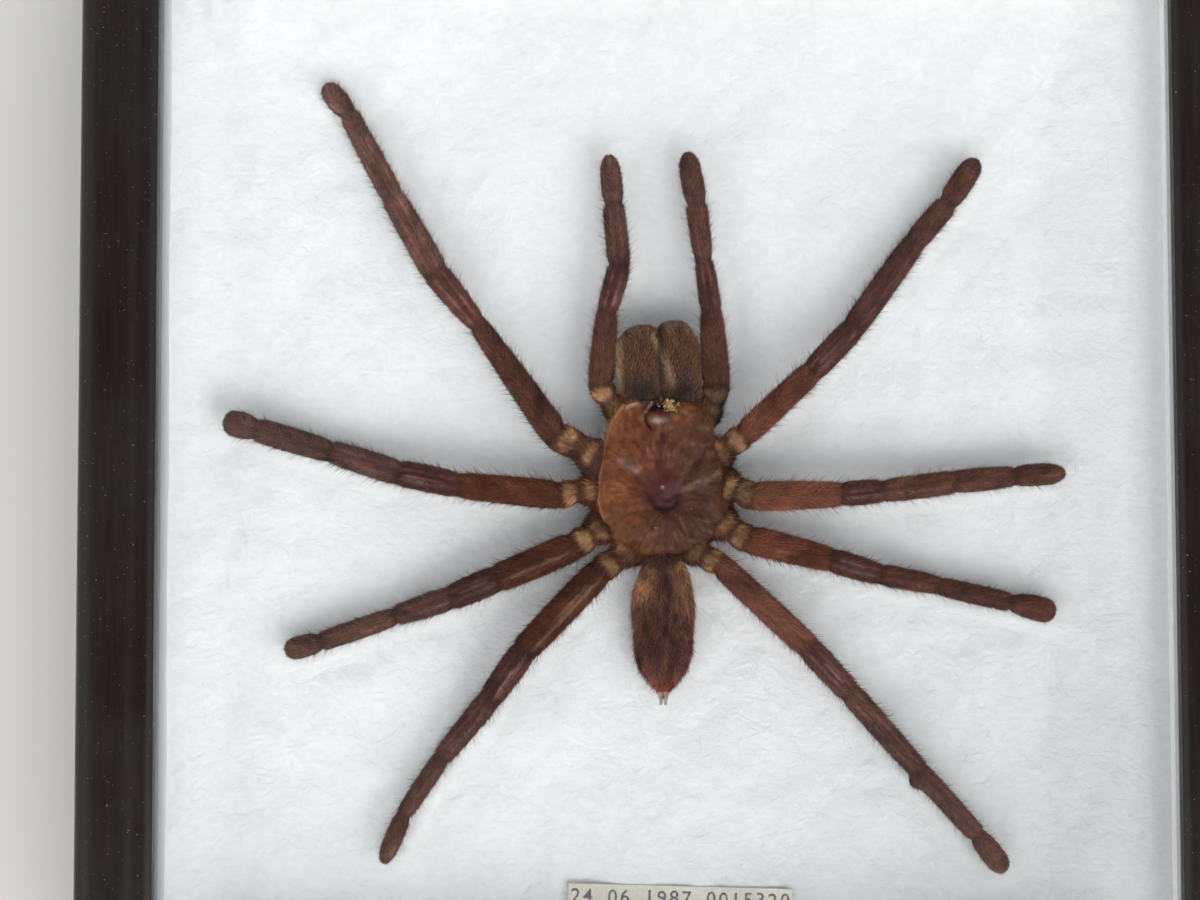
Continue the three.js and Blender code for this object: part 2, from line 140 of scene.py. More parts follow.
def new_group(name, kind, inputs, outputs):
    """A node group and its inputs; both lists of sockets are {name: socket type}."""
    tree = bpy.data.node_groups.new(name, kind)
    for direction, sockets in (("INPUT", inputs), ("OUTPUT", outputs)):
        for label, socket in sockets.items():
            tree.interface.new_socket(label, in_out=direction, socket_type=f"NodeSocket{socket}")
    return tree, add_node(tree, "NodeGroupInput").outputs


def make_fine_grain():
    """An even random grain: its tone, from Low to High, and the height that goes with it."""
    settings = dict.fromkeys(("Scale", "Detail", "From", "To", "Low", "High"), "Float")
    tree, given = new_group("fine grain", "ShaderNodeTree", {"Vector": "Vector", **settings},
                            {"Tone": "Float", "Height": "Float"})
    noise = add_node(tree, "ShaderNodeTexNoise", {key: given[key] for key in ("Vector", "Scale", "Detail")})
    tone = add_range(tree, noise.outputs["Fac"], given["From"], given["To"], given["Low"], given["High"])
    add_node(tree, "NodeGroupOutput", {"Tone": tone, "Height": noise.outputs["Fac"]})
    return tree


fine_grain = make_fine_grain()


def add_grain(tree, place, scale, low=0.0, high=1.0, start=0.3, stop=0.7, detail=4):
    """The fine grain's tone and height at a place."""
    settings = {"Vector": place, "Scale": scale, "Detail": detail,
                "From": start, "To": stop, "Low": low, "High": high}
    grain = add_node(tree, "ShaderNodeGroup", settings, node_tree=fine_grain)
    return grain.outputs["Tone"], grain.outputs["Height"]


def add_math(tree, operation, *values):
    return add_node(tree, "ShaderNodeMath", dict(enumerate(values)), operation=operation).outputs["Value"]


def add_mix(tree, factor, first, second, blend="MIX"):
    """Mixes two colours; either may be an output or plain red, green and blue."""
    values = {"Factor": factor}
    for key, colour in (("A", first), ("B", second)):
        values[key] = colour if isinstance(colour, bpy.types.NodeSocket) else (*colour, 1)
    return add_node(tree, "ShaderNodeMix", values, data_type="RGBA", blend_type=blend).outputs["Result"]


def object_place(tree):
    return add_node(tree, "ShaderNodeTexCoord").outputs["Object"]


def finish_shader(tree, shader, colour, roughness, height=None, strength=0.3, distance=0.0001):
    """Feeds a shader's colour, roughness and bump; a plain number goes straight on its socket."""
    tree.links.new(colour, shader.inputs["Base Color"])
    if isinstance(roughness, bpy.types.NodeSocket):
        tree.links.new(roughness, shader.inputs["Roughness"])
    else:
        shader.inputs["Roughness"].default_value = roughness
    if height is not None:
        relief = {"Height": height, "Strength": strength, "Distance": distance}
        tree.links.new(add_node(tree, "ShaderNodeBump", relief).outputs["Normal"], shader.inputs["Normal"])


def make_lacquer():
    material, tree, shader = new_material("black lacquer")
    uv = add_node(tree, "ShaderNodeUVMap", uv_map="moulding")
    along_grain = add_node(tree, "ShaderNodeMapping", {"Vector": uv.outputs["UV"], "Scale": (70, 1100, 1)})
    pores, height = add_grain(tree, along_grain.outputs["Vector"], 1, start=0.3, stop=0.75, detail=5)
    place = object_place(tree)
    specks, _ = add_grain(tree, place, 2600, start=0.74, stop=0.78, detail=1)
    gloss, _ = add_grain(tree, place, 60, 0.3, 0.42, detail=3)
    depth = add_mix(tree, pores, (0.0085, 0.0048, 0.0042), (0.0155, 0.0090, 0.0080))
    finish_shader(tree, shader, add_mix(tree, specks, depth, (0.16, 0.15, 0.14)), gloss, height, 0.12)
    shader.inputs["Specular IOR Level"].default_value = 0.33
    return material


lacquer = make_lacquer()


def make_rail(side, quarter_turns):
    face = smooth_curve(FACE, 4)
    section = np.vstack([face, RABBET]) * MM
    shares = np.linspace(-1, 1, 61)
    rings = []
    for share in shares:
        inward, height = section[:, 0], section[:, 1]
        along = share * (half_side - inward - MITRE_GAP)
        hollow = -0.00003 * (1 + np.sin(along * 90 + quarter_turns)) * (height > 0.02)
        rings.append(np.stack([along, half_side - inward, height + hollow], axis=1))
    points = np.vstack(rings)
    angle = quarter_turns * math.pi / 2
    turned = points.copy()
    turned[:, 0] = points[:, 0] * math.cos(angle) - points[:, 1] * math.sin(angle)
    turned[:, 1] = points[:, 0] * math.sin(angle) + points[:, 1] * math.cos(angle)
    faces = tube_faces(len(shares), len(section))
    rail = new_piece(f"moulding_{side}", turned, faces, lacquer)
    around = np.concatenate([[0], np.cumsum(np.linalg.norm(np.diff(section, axis=0), axis=1))])
    uv = rail.data.uv_layers.new(name="moulding")
    corner_points = np.empty(len(rail.data.loops), int)
    rail.data.loops.foreach_get("vertex_index", corner_points)
    uv_values = np.stack([points[corner_points, 0], around[corner_points % len(section)]], axis=1)
    uv.data.foreach_set("uv", uv_values.ravel())
    smooth_faces(rail, 40)
    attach(rail, "root")
    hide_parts(f"rail_{side}")


for rail_side, turns in (("top", 0), ("left", 1), ("bottom", 2), ("right", 3)):
    make_rail(rail_side, turns)


# ------------------------------------------------------------------ glass
# One pane of clear picture glass, laid into the rabbet under the moulding's lip.
def make_glass():
    material, tree, shader = new_material("picture glass")
    shader.inputs["Base Color"].default_value = (0.96, 0.985, 0.975, 1)
    shader.inputs["Roughness"].default_value = 0.0
    shader.inputs["IOR"].default_value = 1.5
    shader.inputs["Transmission Weight"].default_value = 1.0
    clear = add_node(tree, "ShaderNodeBsdfTransparent", {"Color": (0.97, 0.985, 0.98, 1)})
    light_path = add_node(tree, "ShaderNodeLightPath")
    mix = add_node(tree, "ShaderNodeMixShader", {0: light_path.outputs["Is Shadow Ray"],
                                                 1: shader.outputs["BSDF"], 2: clear.outputs["BSDF"]})
    tree.links.new(mix.outputs["Shader"], tree.nodes["Material Output"].inputs["Surface"])
    return material


def finish_node(name, material):
    """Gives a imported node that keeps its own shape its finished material."""
    mesh = nodes[name].data
    mesh.materials.clear()
    mesh.materials.append(material)


finish_node("glass_pane", make_glass())


# ------------------------------------------------------------------ card liners
# Strips of white card on edge between board and glass, flush with the sight edge, cut by hand.
def make_card():
    """White card with painted light and shade: the left strip darker, most toward its top edge in the lip's
    shadow, and the right strip lighter, as if lit.
    """
    material, tree, shader = new_material("white card")
    place = object_place(tree)
    pulp, height = add_grain(tree, place, 900, start=0.35, stop=0.65)
    parts = add_node(tree, "ShaderNodeSeparateXYZ", {"Vector": place})
    # Painted shade: darker on the left and toward the top edge under the lip, lighter on the right.
    across = add_range(tree, parts.outputs["X"], -0.08, 0.08)
    lip_shadow = add_range(tree, parts.outputs["Z"], 0.018, 0.0237, 1.0, 0.5)
    shaded_card = add_mix(tree, 1.0, (0.70, 0.69, 0.70), lip_shadow, "MULTIPLY")
    painted_light = add_mix(tree, pulp, (0.88, 0.87, 0.86), (0.94, 0.93, 0.92))
    finish_shader(tree, shader, add_mix(tree, across, shaded_card, painted_light), 0.85, height, 0.25)
    return material


card = make_card()
for liner_side in ("left", "right", "top", "bottom"):
    finish_node(f"liner_{liner_side}", card)


# ------------------------------------------------------------------ cotton wadding
# A bed of loose white cotton, laid in by hand: soft lumps, pressed up against the walls, risen a little
# round the limbs that lie on it, with single fibres strewn over its surface.
COTTON_LEVEL = 13.9
COTTON_CELLS = 200
COTTON_CEILING = 21.6
CARD_GAP = 0.3
COTTON_NEST = {"reach": 5.2, "rise": 0.75 * 0.9}
COTTON_HOLLOW = {"y": 12, "across": 23, "along": 24, "depth": 4.5}
# The label's size and place, and how high the wadding stands under it, in millimetres.
LABEL = {"width": 39.2, "height": 6.5, "thickness": 0.25, "x": 2.6, "y": -75.9, "z": 14.55, "tilt": -1.6}
UNDER_LABEL = 14.4


def value_noise(x, y, size, seed):
    """Smooth random lumps of about the given size, between -1 and 1."""
    grid = np.random.default_rng(seed).uniform(-1, 1, (96, 96))
    u, v = x / size + 40, y / size + 40
    i, j = np.floor(u).astype(int), np.floor(v).astype(int)
    s, t = u - i, v - j
    s, t = s * s * (3 - 2 * s), t * t * (3 - 2 * t)
    i, j = i % 95, j % 95
    low = grid[i, j] * (1 - s) + grid[i + 1, j] * s
    high = grid[i, j + 1] * (1 - s) + grid[i + 1, j + 1] * s
    return low * (1 - t) + high * t


def rise(distance, width):
    share = np.clip(distance / width, 0, 1)
    return share * share * (3 - 2 * share)


# Joints of each limb from the hip outward, in millimetres: x, y, height, width of the limb there.
# Legs: coxa, trochanter, femur, patella, tibia, metatarsus, tarsus, tip. Palps have no metatarsus.
LIMBS = {
    "palp_left": ((-7.2, 10.4, 17.6, 4.6), (-9.6, 12.4, 17.8, 4.4), (-11.2, 15, 18, 5.2),
                  (-10, 28, 18.6, 4.3), (-7.8, 36, 18.4, 4.6), (-8.8, 47, 18.2, 4.3),
                  (-9.6, 55.8, 18.4, 3.6)),
    "palp_right": ((7, 10.4, 17.6, 4.6), (8.6, 12.2, 17.8, 4.6), (9.2, 15, 18, 5.6), (8.3, 28, 18.6, 4.4),
                   (7, 37, 18.4, 3.8), (5.8, 47, 18.2, 4.4), (4.2, 56.2, 18.6, 3.9)),
    "leg_left_1": ((-10.8, 1.6, 17.8, 6), (-15, 4.3, 18.2, 5.6), (-19, 6.4, 18.6, 5.7),
                   (-32.5, 25.6, 19.6, 4.1), (-40, 34.8, 18.8, 5.4), (-47.7, 48.5, 17.8, 4.8),
                   (-55.6, 63.4, 17.4, 4.2), (-59.8, 68.6, 17.2, 3.9)),
    "leg_left_2": ((-11.2, -3.2, 17.8, 5.4), (-15.2, -3.4, 18.2, 4.8), (-18.2, -4.1, 18.6, 5.5),
                   (-35.5, -2.4, 19.6, 5.1), (-46.4, -0.2, 18.8, 5.1), (-58.4, 3.6, 17.8, 4.6),
                   (-71.4, 7.5, 18.6, 4.9), (-76.9, 9.1, 19.4, 4.6)),
    "leg_left_3": ((-10.2, -9, 17.8, 5.2), (-13, -10.9, 18.2, 5), (-15.4, -12.8, 18.6, 5.7),
                   (-29, -18.5, 19.4, 5.5), (-37.5, -22, 18.6, 5), (-47, -25.1, 17.6, 4),
                   (-60, -29.6, 17.2, 4.1), (-66.4, -31.2, 17.1, 4.2)),
    "leg_left_4": ((-5.6, -13, 17.6, 5), (-8.3, -15.2, 18, 5), (-11.2, -17.2, 18.4, 5.6),
                   (-24.5, -31, 19.4, 5.4), (-30.5, -39.4, 18.6, 4.8), (-39, -49.8, 17.6, 3.9),
                   (-45.5, -59.5, 17.1, 3.6), (-49.2, -68.1, 17, 3.3)),
    "leg_right_1": ((8.6, 2.6, 17.8, 5.2), (11.2, 4.3, 18.2, 5), (13.8, 6.2, 18.6, 5.1),
                    (25.6, 17.2, 19.6, 4.8), (33.1, 25, 18.8, 5), (44, 40, 17.8, 4.7),
                    (50.1, 47.2, 17.6, 4.5), (55.4, 55, 17.6, 4.2)),
    "leg_right_2": ((10.4, -2.6, 17.8, 5.2), (12.8, -3.3, 18.2, 5), (15.2, -4.4, 18.6, 5.7),
                    (30.6, -4.1, 19.6, 4.9), (38, -3.5, 18.8, 4.6), (50.6, -2, 18, 4.7),
                    (61, -1, 18.4, 4.3), (69.9, -0.4, 19, 3.8)),
    "leg_right_3": ((9.4, -8.6, 17.8, 5.2), (11.8, -10.3, 18.2, 5), (14.6, -11.9, 18.6, 5.7),
                    (28.6, -15.4, 19.4, 4.9), (37.4, -18, 18.6, 4.4), (47.6, -20, 17.6, 3.9),
                    (60.4, -23, 17.2, 4), (68.3, -24.8, 17.2, 4.9)),
    "leg_right_4": ((4.4, -12.8, 17.6, 5), (6.8, -14.7, 18, 4.8), (9.6, -16.2, 18.4, 4.8),
                    (24.6, -30.4, 19.6, 5), (32, -38.4, 19, 4.7), (44, -52, 18.4, 4.2),
                    (54.1, -63.2, 17.6, 4), (59, -69.6, 17.2, 4.2)),
}


def nearness_to_limbs(x, y):
    """For places in millimetres: how close each is to a limb that lies low, from 0 to 1."""
    near = np.zeros_like(x)
    for joints in LIMBS.values():
        for (ax, ay, az, aw), (bx, by, bz, bw) in zip(joints, joints[1:]):
            length = (bx - ax) ** 2 + (by - ay) ** 2
            share = np.clip(((x - ax) * (bx - ax) + (y - ay) * (by - ay)) / length, 0, 1)
            distance = np.hypot(x - ax - share * (bx - ax), y - ay - share * (by - ay))
            underside = az + (bz - az) * share - (aw + (bw - aw) * share) / 2
            lowness = np.clip(1.6 - (underside - 15) / 2.2, 0, 1)
            near = np.maximum(near, lowness * rise(COTTON_NEST["reach"] - distance, COTTON_NEST["reach"] - 2))
    return near


def cotton_height(x, y):
    """Height of the wadding in millimetres, at places in millimetres."""
    lumps = np.sin(x / 11 + 1.3) * np.cos(y / 13) + np.sin(x / 6.1 - y / 8.3) + np.cos(x / 17 + y / 9 + 0.7)
    swell = np.maximum.reduce([4.5 * rise(-x - 76, 11), 8.5 * rise(x - 66, 21),
                               2.8 * rise(y - 62, 25), 3 * rise(-y - 79, 8)])
    fluff = 0.34 * value_noise(x, y, 7.5, 1) + 0.22 * value_noise(x, y, 3.1, 2)
    fluff = fluff + 0.11 * value_noise(x, y, 1.4, 3)
    hollow = COTTON_HOLLOW["depth"] * np.exp(-(x / COTTON_HOLLOW["across"]) ** 2
                                             - ((y - COTTON_HOLLOW["y"]) / COTTON_HOLLOW["along"]) ** 2)
    nest = COTTON_NEST["rise"] * nearness_to_limbs(x, y)
    height = COTTON_LEVEL + 0.22 * lumps + swell + fluff - hollow + nest
    beside = np.hypot(np.maximum(np.abs(x - LABEL["x"]) - LABEL["width"] / 2, 0),
                      np.maximum(np.abs(y - LABEL["y"]) - 3.2, 0))
    height = np.minimum(height, UNDER_LABEL + 0.45 * beside)
    return height - np.log1p(np.exp(np.clip((height - COTTON_CEILING) / 0.7, -30, 30))) * 0.7


def make_cotton_skin():
    low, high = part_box("cotton_bed")
    half = high.x / MM + CARD_GAP
    t = np.linspace(-1, 1, COTTON_CELLS + 1)
    line = half * (1.15 * t - 0.15 * t ** 3)
    x, y = np.meshgrid(line, line, indexing="ij")
    z = np.minimum(cotton_height(x, y), high.z / MM)
    top = np.stack([x, y, z], axis=2).reshape(-1, 3)
    count = COTTON_CELLS + 1
    faces = []
    for i in range(COTTON_CELLS):
        for j in range(COTTON_CELLS):
            first = i * count + j
            faces.append((first, first + count, first + count + 1, first + 1))
    rim = [i * count for i in range(count)]
    rim += [COTTON_CELLS * count + j for j in range(1, count)]
    rim += [i * count + COTTON_CELLS for i in reversed(range(COTTON_CELLS))]
    rim += list(reversed(range(1, COTTON_CELLS)))
    skirt = top[rim].copy()
    skirt[:, 2] = low.z / MM
    first = len(top)
    for k in range(len(rim)):
        following = (k + 1) % len(rim)
        faces.append((rim[following], rim[k], first + k, first + following))
    faces.append(tuple(first + k for k in reversed(range(len(rim)))))
    return new_piece("cotton_wadding", np.vstack([top, skirt]) * MM, faces)


def make_drawn_cotton():
    """Cotton drawn out into fine, slightly bent streaks that cross each other."""
    tree, _ = new_group("drawn cotton", "ShaderNodeTree", {}, {"Tone": "Float", "Height": "Float"})
    place = object_place(tree)
    warp = add_node(tree, "ShaderNodeTexNoise", {"Vector": place, "Scale": 260, "Detail": 2})
    bend = 2.8 * MM
    bent = add_node(tree, "ShaderNodeVectorMath", {0: warp.outputs["Color"], 1: (bend, bend, bend), 2: place},
                    operation="MULTIPLY_ADD")
    layers = []
    for turn, across in ((0.45, 860), (-0.75, 1100)):
        drawn = add_node(tree, "ShaderNodeMapping", {
            "Vector": bent.outputs["Vector"], "Rotation": (0, 0, turn), "Scale": (680, across, 600)})
        layers.append(add_grain(tree, drawn.outputs["Vector"], 1, start=0.25, stop=0.75, detail=2)[0])
    both = add_math(tree, "ADD", *layers)
    add_node(tree, "NodeGroupOutput", {"Tone": add_math(tree, "MULTIPLY", both, 0.5), "Height": both})
    return tree


drawn_cotton = make_drawn_cotton()


def add_mask(tree, name):
    """The named value that each point of a piece has."""
    return add_node(tree, "ShaderNodeAttribute", attribute_name=name).outputs["Fac"]


def make_cotton_material(name, low, high):
    material, tree, shader = new_material(name)
    drawn = add_node(tree, "ShaderNodeGroup", node_tree=drawn_cotton)
    tone = add_mix(tree, drawn.outputs["Tone"], low, high)
    # The shade values paint light and shade over the wadding.
    tone = add_mix(tree, 1.0, tone, add_mask(tree, "shade"), "MULTIPLY")
    finish_shader(tree, shader, tone, 0.9, drawn.outputs["Height"], 0.26, 0.0003)
    shader.inputs["Specular IOR Level"].default_value = 0.2
    shader.inputs["Sheen Weight"].default_value = 0.15
    return material


def new_geometry_group(name, **inputs):
    """A geometry group that changes a skin, and its named inputs; an underscore stands for a space."""
    named = {label.replace("_", " "): socket for label, socket in inputs.items()}
    return new_group(name, "GeometryNodeTree", {"Skin": "Geometry", **named}, {"Skin": "Geometry"})


def add_attribute(tree, name, kind="FLOAT"):
    node = add_node(tree, "GeometryNodeInputNamedAttribute", {"Name": name}, data_type=kind)
    return node.outputs["Attribute"]


def add_random(tree, seed, low, high):
    """A random value, or a random vector where the ends are vectors."""
    kind, first, output = ("FLOAT_VECTOR", 0, 0) if isinstance(low, tuple) else ("FLOAT", 2, 1)
    node = add_node(tree, "FunctionNodeRandomValue", {
        "Seed": seed, first: low, first + 1: high}, data_type=kind)
    return node.outputs[output]


def add_roots(tree, skin, density, seed):
    """Random points on a skin, as many as its "growth" attribute and the density allow."""
    grown = add_math(tree, "MULTIPLY", density, add_attribute(tree, "growth"))
    return add_node(tree, "GeometryNodeDistributePointsOnFaces", {
        "Mesh": skin, "Seed": seed, "Density": grown}).outputs


def finish_group(tree, copies, material, skin=None):
    """Makes the copies real, gives them their material and lays them on the skin they stand on, if any."""
    made = add_node(tree, "GeometryNodeRealizeInstances", {"Geometry": copies})
    if skin is not None:
        made = add_node(tree, "GeometryNodeStoreNamedAttribute", {
            "Geometry": made.outputs["Geometry"], "Name": "growth", "Value": 0.0},
            data_type="FLOAT", domain="POINT")
    made = add_node(tree, "GeometryNodeSetMaterial", {
        "Geometry": made.outputs["Geometry"], "Material": material})
    if skin is not None:
        both = add_node(tree, "GeometryNodeJoinGeometry", {"Geometry": skin})
        tree.links.new(made.outputs["Geometry"], both.inputs["Geometry"])
        made = both
    add_node(tree, "NodeGroupOutput", {"Skin": made.outputs["Geometry"]})
    return tree


def make_fibre_tree():
    """Single curved fibres laid flat on a surface, at random headings."""
    tree, given = new_geometry_group(
        "strewn fibres", Fibres_per_square_metre="Float", Length="Float", Thickness="Float", Seed="Int",
        Fibre_material="Material")
    roots = add_roots(tree, given["Skin"], given["Fibres per square metre"], given["Seed"])
    arc = add_node(tree, "GeometryNodeCurveQuadraticBezier", {
        "Resolution": 4, "Start": (-0.5, 0, 0), "Middle": (0.05, 0.16, 0.06), "End": (0.5, 0.04, -0.01)})
    slimness = add_math(tree, "DIVIDE", given["Thickness"], given["Length"])
    section = add_node(tree, "GeometryNodeCurvePrimitiveCircle", {"Resolution": 3, "Radius": slimness})
    fibre = add_node(tree, "GeometryNodeCurveToMesh", {
        "Curve": arc.outputs["Curve"], "Profile Curve": section.outputs["Curve"], "Fill Caps": True})
    heading = add_random(tree, 11, (-0.12, -0.12, 0), (0.12, 0.12, math.tau))
    turn = add_node(tree, "FunctionNodeEulerToRotation", {"Euler": heading})
    lie = add_node(tree, "FunctionNodeAlignRotationToVector", {"Vector": roots["Normal"]}, axis="Z")
    laid = add_node(tree, "FunctionNodeRotateRotation",
                    {"Rotation": lie.outputs["Rotation"], "Rotate By": turn.outputs["Rotation"]},
                    rotation_space="LOCAL")
    size = add_math(tree, "MULTIPLY", add_random(tree, 12, 0.35, 1.0), given["Length"])
    strewn = add_node(tree, "GeometryNodeInstanceOnPoints",
                      {"Points": roots["Points"], "Instance": fibre.outputs["Mesh"],
                       "Rotation": laid.outputs["Rotation"], "Scale": size})
    return finish_group(tree, strewn.outputs["Instances"], given["Fibre material"], given["Skin"])


def keep_result(piece):
    """Turns what the modifiers make into the piece's own mesh."""
    depsgraph = bpy.context.evaluated_depsgraph_get()
    made = bpy.data.meshes.new_from_object(
        piece.evaluated_get(depsgraph), preserve_all_data_layers=True, depsgraph=depsgraph)
    piece.modifiers.clear()
    piece.data = made


def add_bevel(piece, width):
    """Rounds the edges of a piece; the width is in millimetres."""
    bevel = piece.modifiers.new("worn edge", "BEVEL")
    bevel.width = width * MM
    bevel.segments = 2
    bevel.limit_method = "ANGLE"


def bake_tree(piece, tree, values):
    """Runs a geometry tree on a piece with the named values, and keeps the result as its plain mesh."""
    modifier = piece.modifiers.new(tree.name, "NODES")
    modifier.node_group = tree
    for item in tree.interface.items_tree:
        if item.in_out == "INPUT" and item.name in values:
            modifier[item.identifier] = values[item.name]
    keep_result(piece)


def set_attribute(piece, name, values, kind="FLOAT"):
    """One value, or one vector, for each point of a piece."""
    attribute = piece.data.attributes.new(name, kind, "POINT")
    field = "value" if kind == "FLOAT" else "vector"
    attribute.data.foreach_set(field, np.asarray(values, np.float32).ravel())


cotton = make_cotton_skin()
smooth_faces(cotton, 60)
cotton.data.materials.append(make_cotton_material("cotton mass", (0.86, 0.837, 0.85), (0.955, 0.93, 0.945)))
cotton_points = np.array([v.co for v in cotton.data.vertices])
inside = np.clip((0.0860 - np.abs(cotton_points[:, :2]).max(axis=1)) / 0.003, 0, 1)
set_attribute(cotton, "growth", inside * (cotton_points[:, 2] > 0.012))
# Painted light and shade: the wadding is lightest at the top left, and darker at the bottom right and along
# the top's middle.
shade_x, shade_y = cotton_points[:, 0] / 0.086, cotton_points[:, 1] / 0.086
painted_light = 0.96 - 0.059 * shade_x + 0.068 * shade_y
painted_light = painted_light - 0.1 * np.exp(-((shade_x - 0.85) / 0.5) ** 2 - ((shade_y + 0.7) / 0.4) ** 2)
painted_light -= 0.05 * np.exp(-(shade_x / 0.6) ** 2 - ((shade_y - 0.85) / 0.3) ** 2)
set_attribute(cotton, "shade", painted_light)
bake_tree(cotton, make_fibre_tree(), {
    "Fibres per square metre": 1.4e5, "Length": 5 * MM, "Thickness": 0.022 * MM, "Seed": 5,
    "Fibre material": make_cotton_material("cotton fibre", (0.88, 0.86, 0.87), (0.97, 0.95, 0.96))})
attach(cotton, "root")
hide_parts("cotton_bed")


# ------------------------------------------------------------------ label
# A strip of cream paper with a typed number, laid on the wadding below the spider and slightly curled.
TYPED_ROWS = (("24.06.1987 0015320", 1.25), ("0017", -1.75))
TYPE_PITCH = 2.16
TYPE_HEIGHT = 2.5


def make_paper():
    material, tree, shader = new_material("label paper")
    place = object_place(tree)
    fibre, height = add_grain(tree, place, 2200, 0.86, 1.0, 0.3, 0.6, detail=5)
    age, _ = add_grain(tree, place, 160, start=0.35, stop=0.65, detail=3)
    tint = add_mix(tree, age, (0.70, 0.645, 0.555), (0.80, 0.755, 0.67))
    finish_shader(tree, shader, add_mix(tree, 1.0, tint, fibre, "MULTIPLY"), 0.8, height, 0.2, 0.00005)
    return material


def make_ink():
    material, tree, shader = new_material("typed ink")
    press, _ = add_grain(tree, object_place(tree), 3000, start=0.35, stop=0.68, detail=3)
    finish_shader(tree, shader, add_mix(tree, press, (0.06, 0.045, 0.055), (0.30, 0.25, 0.27)), 0.7)
    return material


def paper_lift(x, y):
    """How far the curled strip stands above flat, in millimetres from its own middle."""
    return 0.16 * (x / 19.6) ** 4 + 0.08 * np.sin(x / 5.3 + 0.6) + 0.03 * (y / 3.25) ** 2


def on_label(points):
    """Points of the flat strip, in its own millimetres, moved to its place on the wadding."""
    points = np.asarray(points, float)
    tilt = math.radians(LABEL["tilt"])
    x, y = points[:, 0], points[:, 1]
    return np.stack([LABEL["x"] + x * math.cos(tilt) - y * math.sin(tilt),
                     LABEL["y"] + x * math.sin(tilt) + y * math.cos(tilt),
                     LABEL["z"] + points[:, 2] + paper_lift(x, y)], axis=1)


def joined(*parts):
    """Parts of (points, faces) as one: all the points, all the faces, and each face's part number."""
    points, faces, part_numbers = [], [], []
    offset = 0
    for number, (part_points, part_faces) in enumerate(parts):
        points.append(part_points)
        faces += [tuple(index + offset for index in face) for face in part_faces]
        part_numbers += [number] * len(part_faces)
        offset += len(part_points)
    return np.vstack(points), faces, part_numbers


def typed_character(character):
    """One raised character about its own middle, in millimetres."""
    curve = bpy.data.curves.new("typed", "FONT")
    curve.body = character
    curve.align_x = "CENTER"
    curve.size = TYPE_HEIGHT * 1.4
    curve.extrude = 0.02
    curve.offset = 0.025
    curve.resolution_u = 3
    holder = bpy.data.objects.new("typed", curve)
    bpy.context.scene.collection.objects.link(holder)
    depsgraph = bpy.context.evaluated_depsgraph_get()
    mesh = bpy.data.meshes.new_from_object(holder.evaluated_get(depsgraph))
    bpy.data.objects.remove(holder)
    glyph = bmesh.new()
    glyph.from_mesh(mesh)
    bmesh.ops.remove_doubles(glyph, verts=glyph.verts, dist=1e-4)
    glyph.to_mesh(mesh)
    glyph.free()
    points = np.array([vertex.co for vertex in mesh.vertices])
    return points, [tuple(polygon.vertices) for polygon in mesh.polygons]


def make_label():
    across, down = 60, 10
    half_width, half_height, half_thickness = [LABEL[key] / 2 for key in ("width", "height", "thickness")]
    rings = []
    for x in np.linspace(-half_width, half_width, across + 1):
        row = np.linspace(half_height, -half_height, down + 1)
        top = [(x, y, half_thickness) for y in row[::-1]]
        bottom = [(x, y, -half_thickness) for y in row]
        rings.append(top + bottom)
    sheet = on_label(np.vstack(rings)), tube_faces(across + 1, 2 * (down + 1))
    used = "".join(row for row, _ in TYPED_ROWS).replace(" ", "")
    glyphs = {character: typed_character(character) for character in sorted(set(used))}
    typed = []
    random = np.random.default_rng(4)
    start = -(len(TYPED_ROWS[0][0]) - 1) / 2 * TYPE_PITCH
    for row, row_y in TYPED_ROWS:
        for place, character in enumerate(row):
            if character != " ":
                points, faces = glyphs[character]
                across_row = start + place * TYPE_PITCH
                up_row = row_y - TYPE_HEIGHT / 2 + random.uniform(-0.07, 0.07)
                typed.append((on_label(points + (across_row, up_row, half_thickness)), faces))
    points, faces, part_numbers = joined(sheet, *typed)
    label = new_piece("label_strip", points * MM, faces, make_paper(), make_ink())
    label.data.polygons.foreach_set("material_index", [min(number, 1) for number in part_numbers])
    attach(label, "root")
    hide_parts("label")


make_label()


# ------------------------------------------------------------------ backing board and its points
# A hardboard back laid into the rabbet and held by eight flat steel points, pressed into the rails by hand
# so that each tab bears on the board.
POINT = {"length": 11, "width": 6, "thickness": 0.5, "driven": 4, "spread": 52, "top": 2.7, "droop": 0.9}
RABBET_WALL = 91.25


def make_hardboard():
    material, tree, shader = new_material("hardboard")
    place = object_place(tree)
    pulp, height = add_grain(tree, place, 1400, detail=5)
    stain, _ = add_grain(tree, place, 40, 0.78, 1.08, 0.35, 0.7, detail=3)
    gloss, _ = add_grain(tree, place, 1400, 0.72, 0.5, detail=5)
    tint = add_mix(tree, pulp, (0.105, 0.058, 0.030), (0.19, 0.115, 0.062))
    finish_shader(tree, shader, add_mix(tree, 1.0, tint, stain, "MULTIPLY"), gloss, height, 0.4)
    return material


def make_metal(name, bright, dull, roughness):
    """Bare plated metal with faint stains and scratches."""
    material, tree, shader = new_material(name)
    place = object_place(tree)
    stain, _ = add_grain(tree, place, 350, start=0.35, stop=0.62)
    gloss, _ = add_grain(tree, place, 350, roughness + 0.2, roughness, 0.35, 0.65)
    drawn = add_node(tree, "ShaderNodeMapping", {"Vector": place, "Scale": (300, 9000, 3000)})
    _, scratch = add_grain(tree, drawn.outputs["Vector"], 1, detail=3)
    finish_shader(tree, shader, add_mix(tree, stain, dull, bright), gloss, scratch, 0.2, 0.00005)
    shader.inputs["Metallic"].default_value = 1.0
    return material


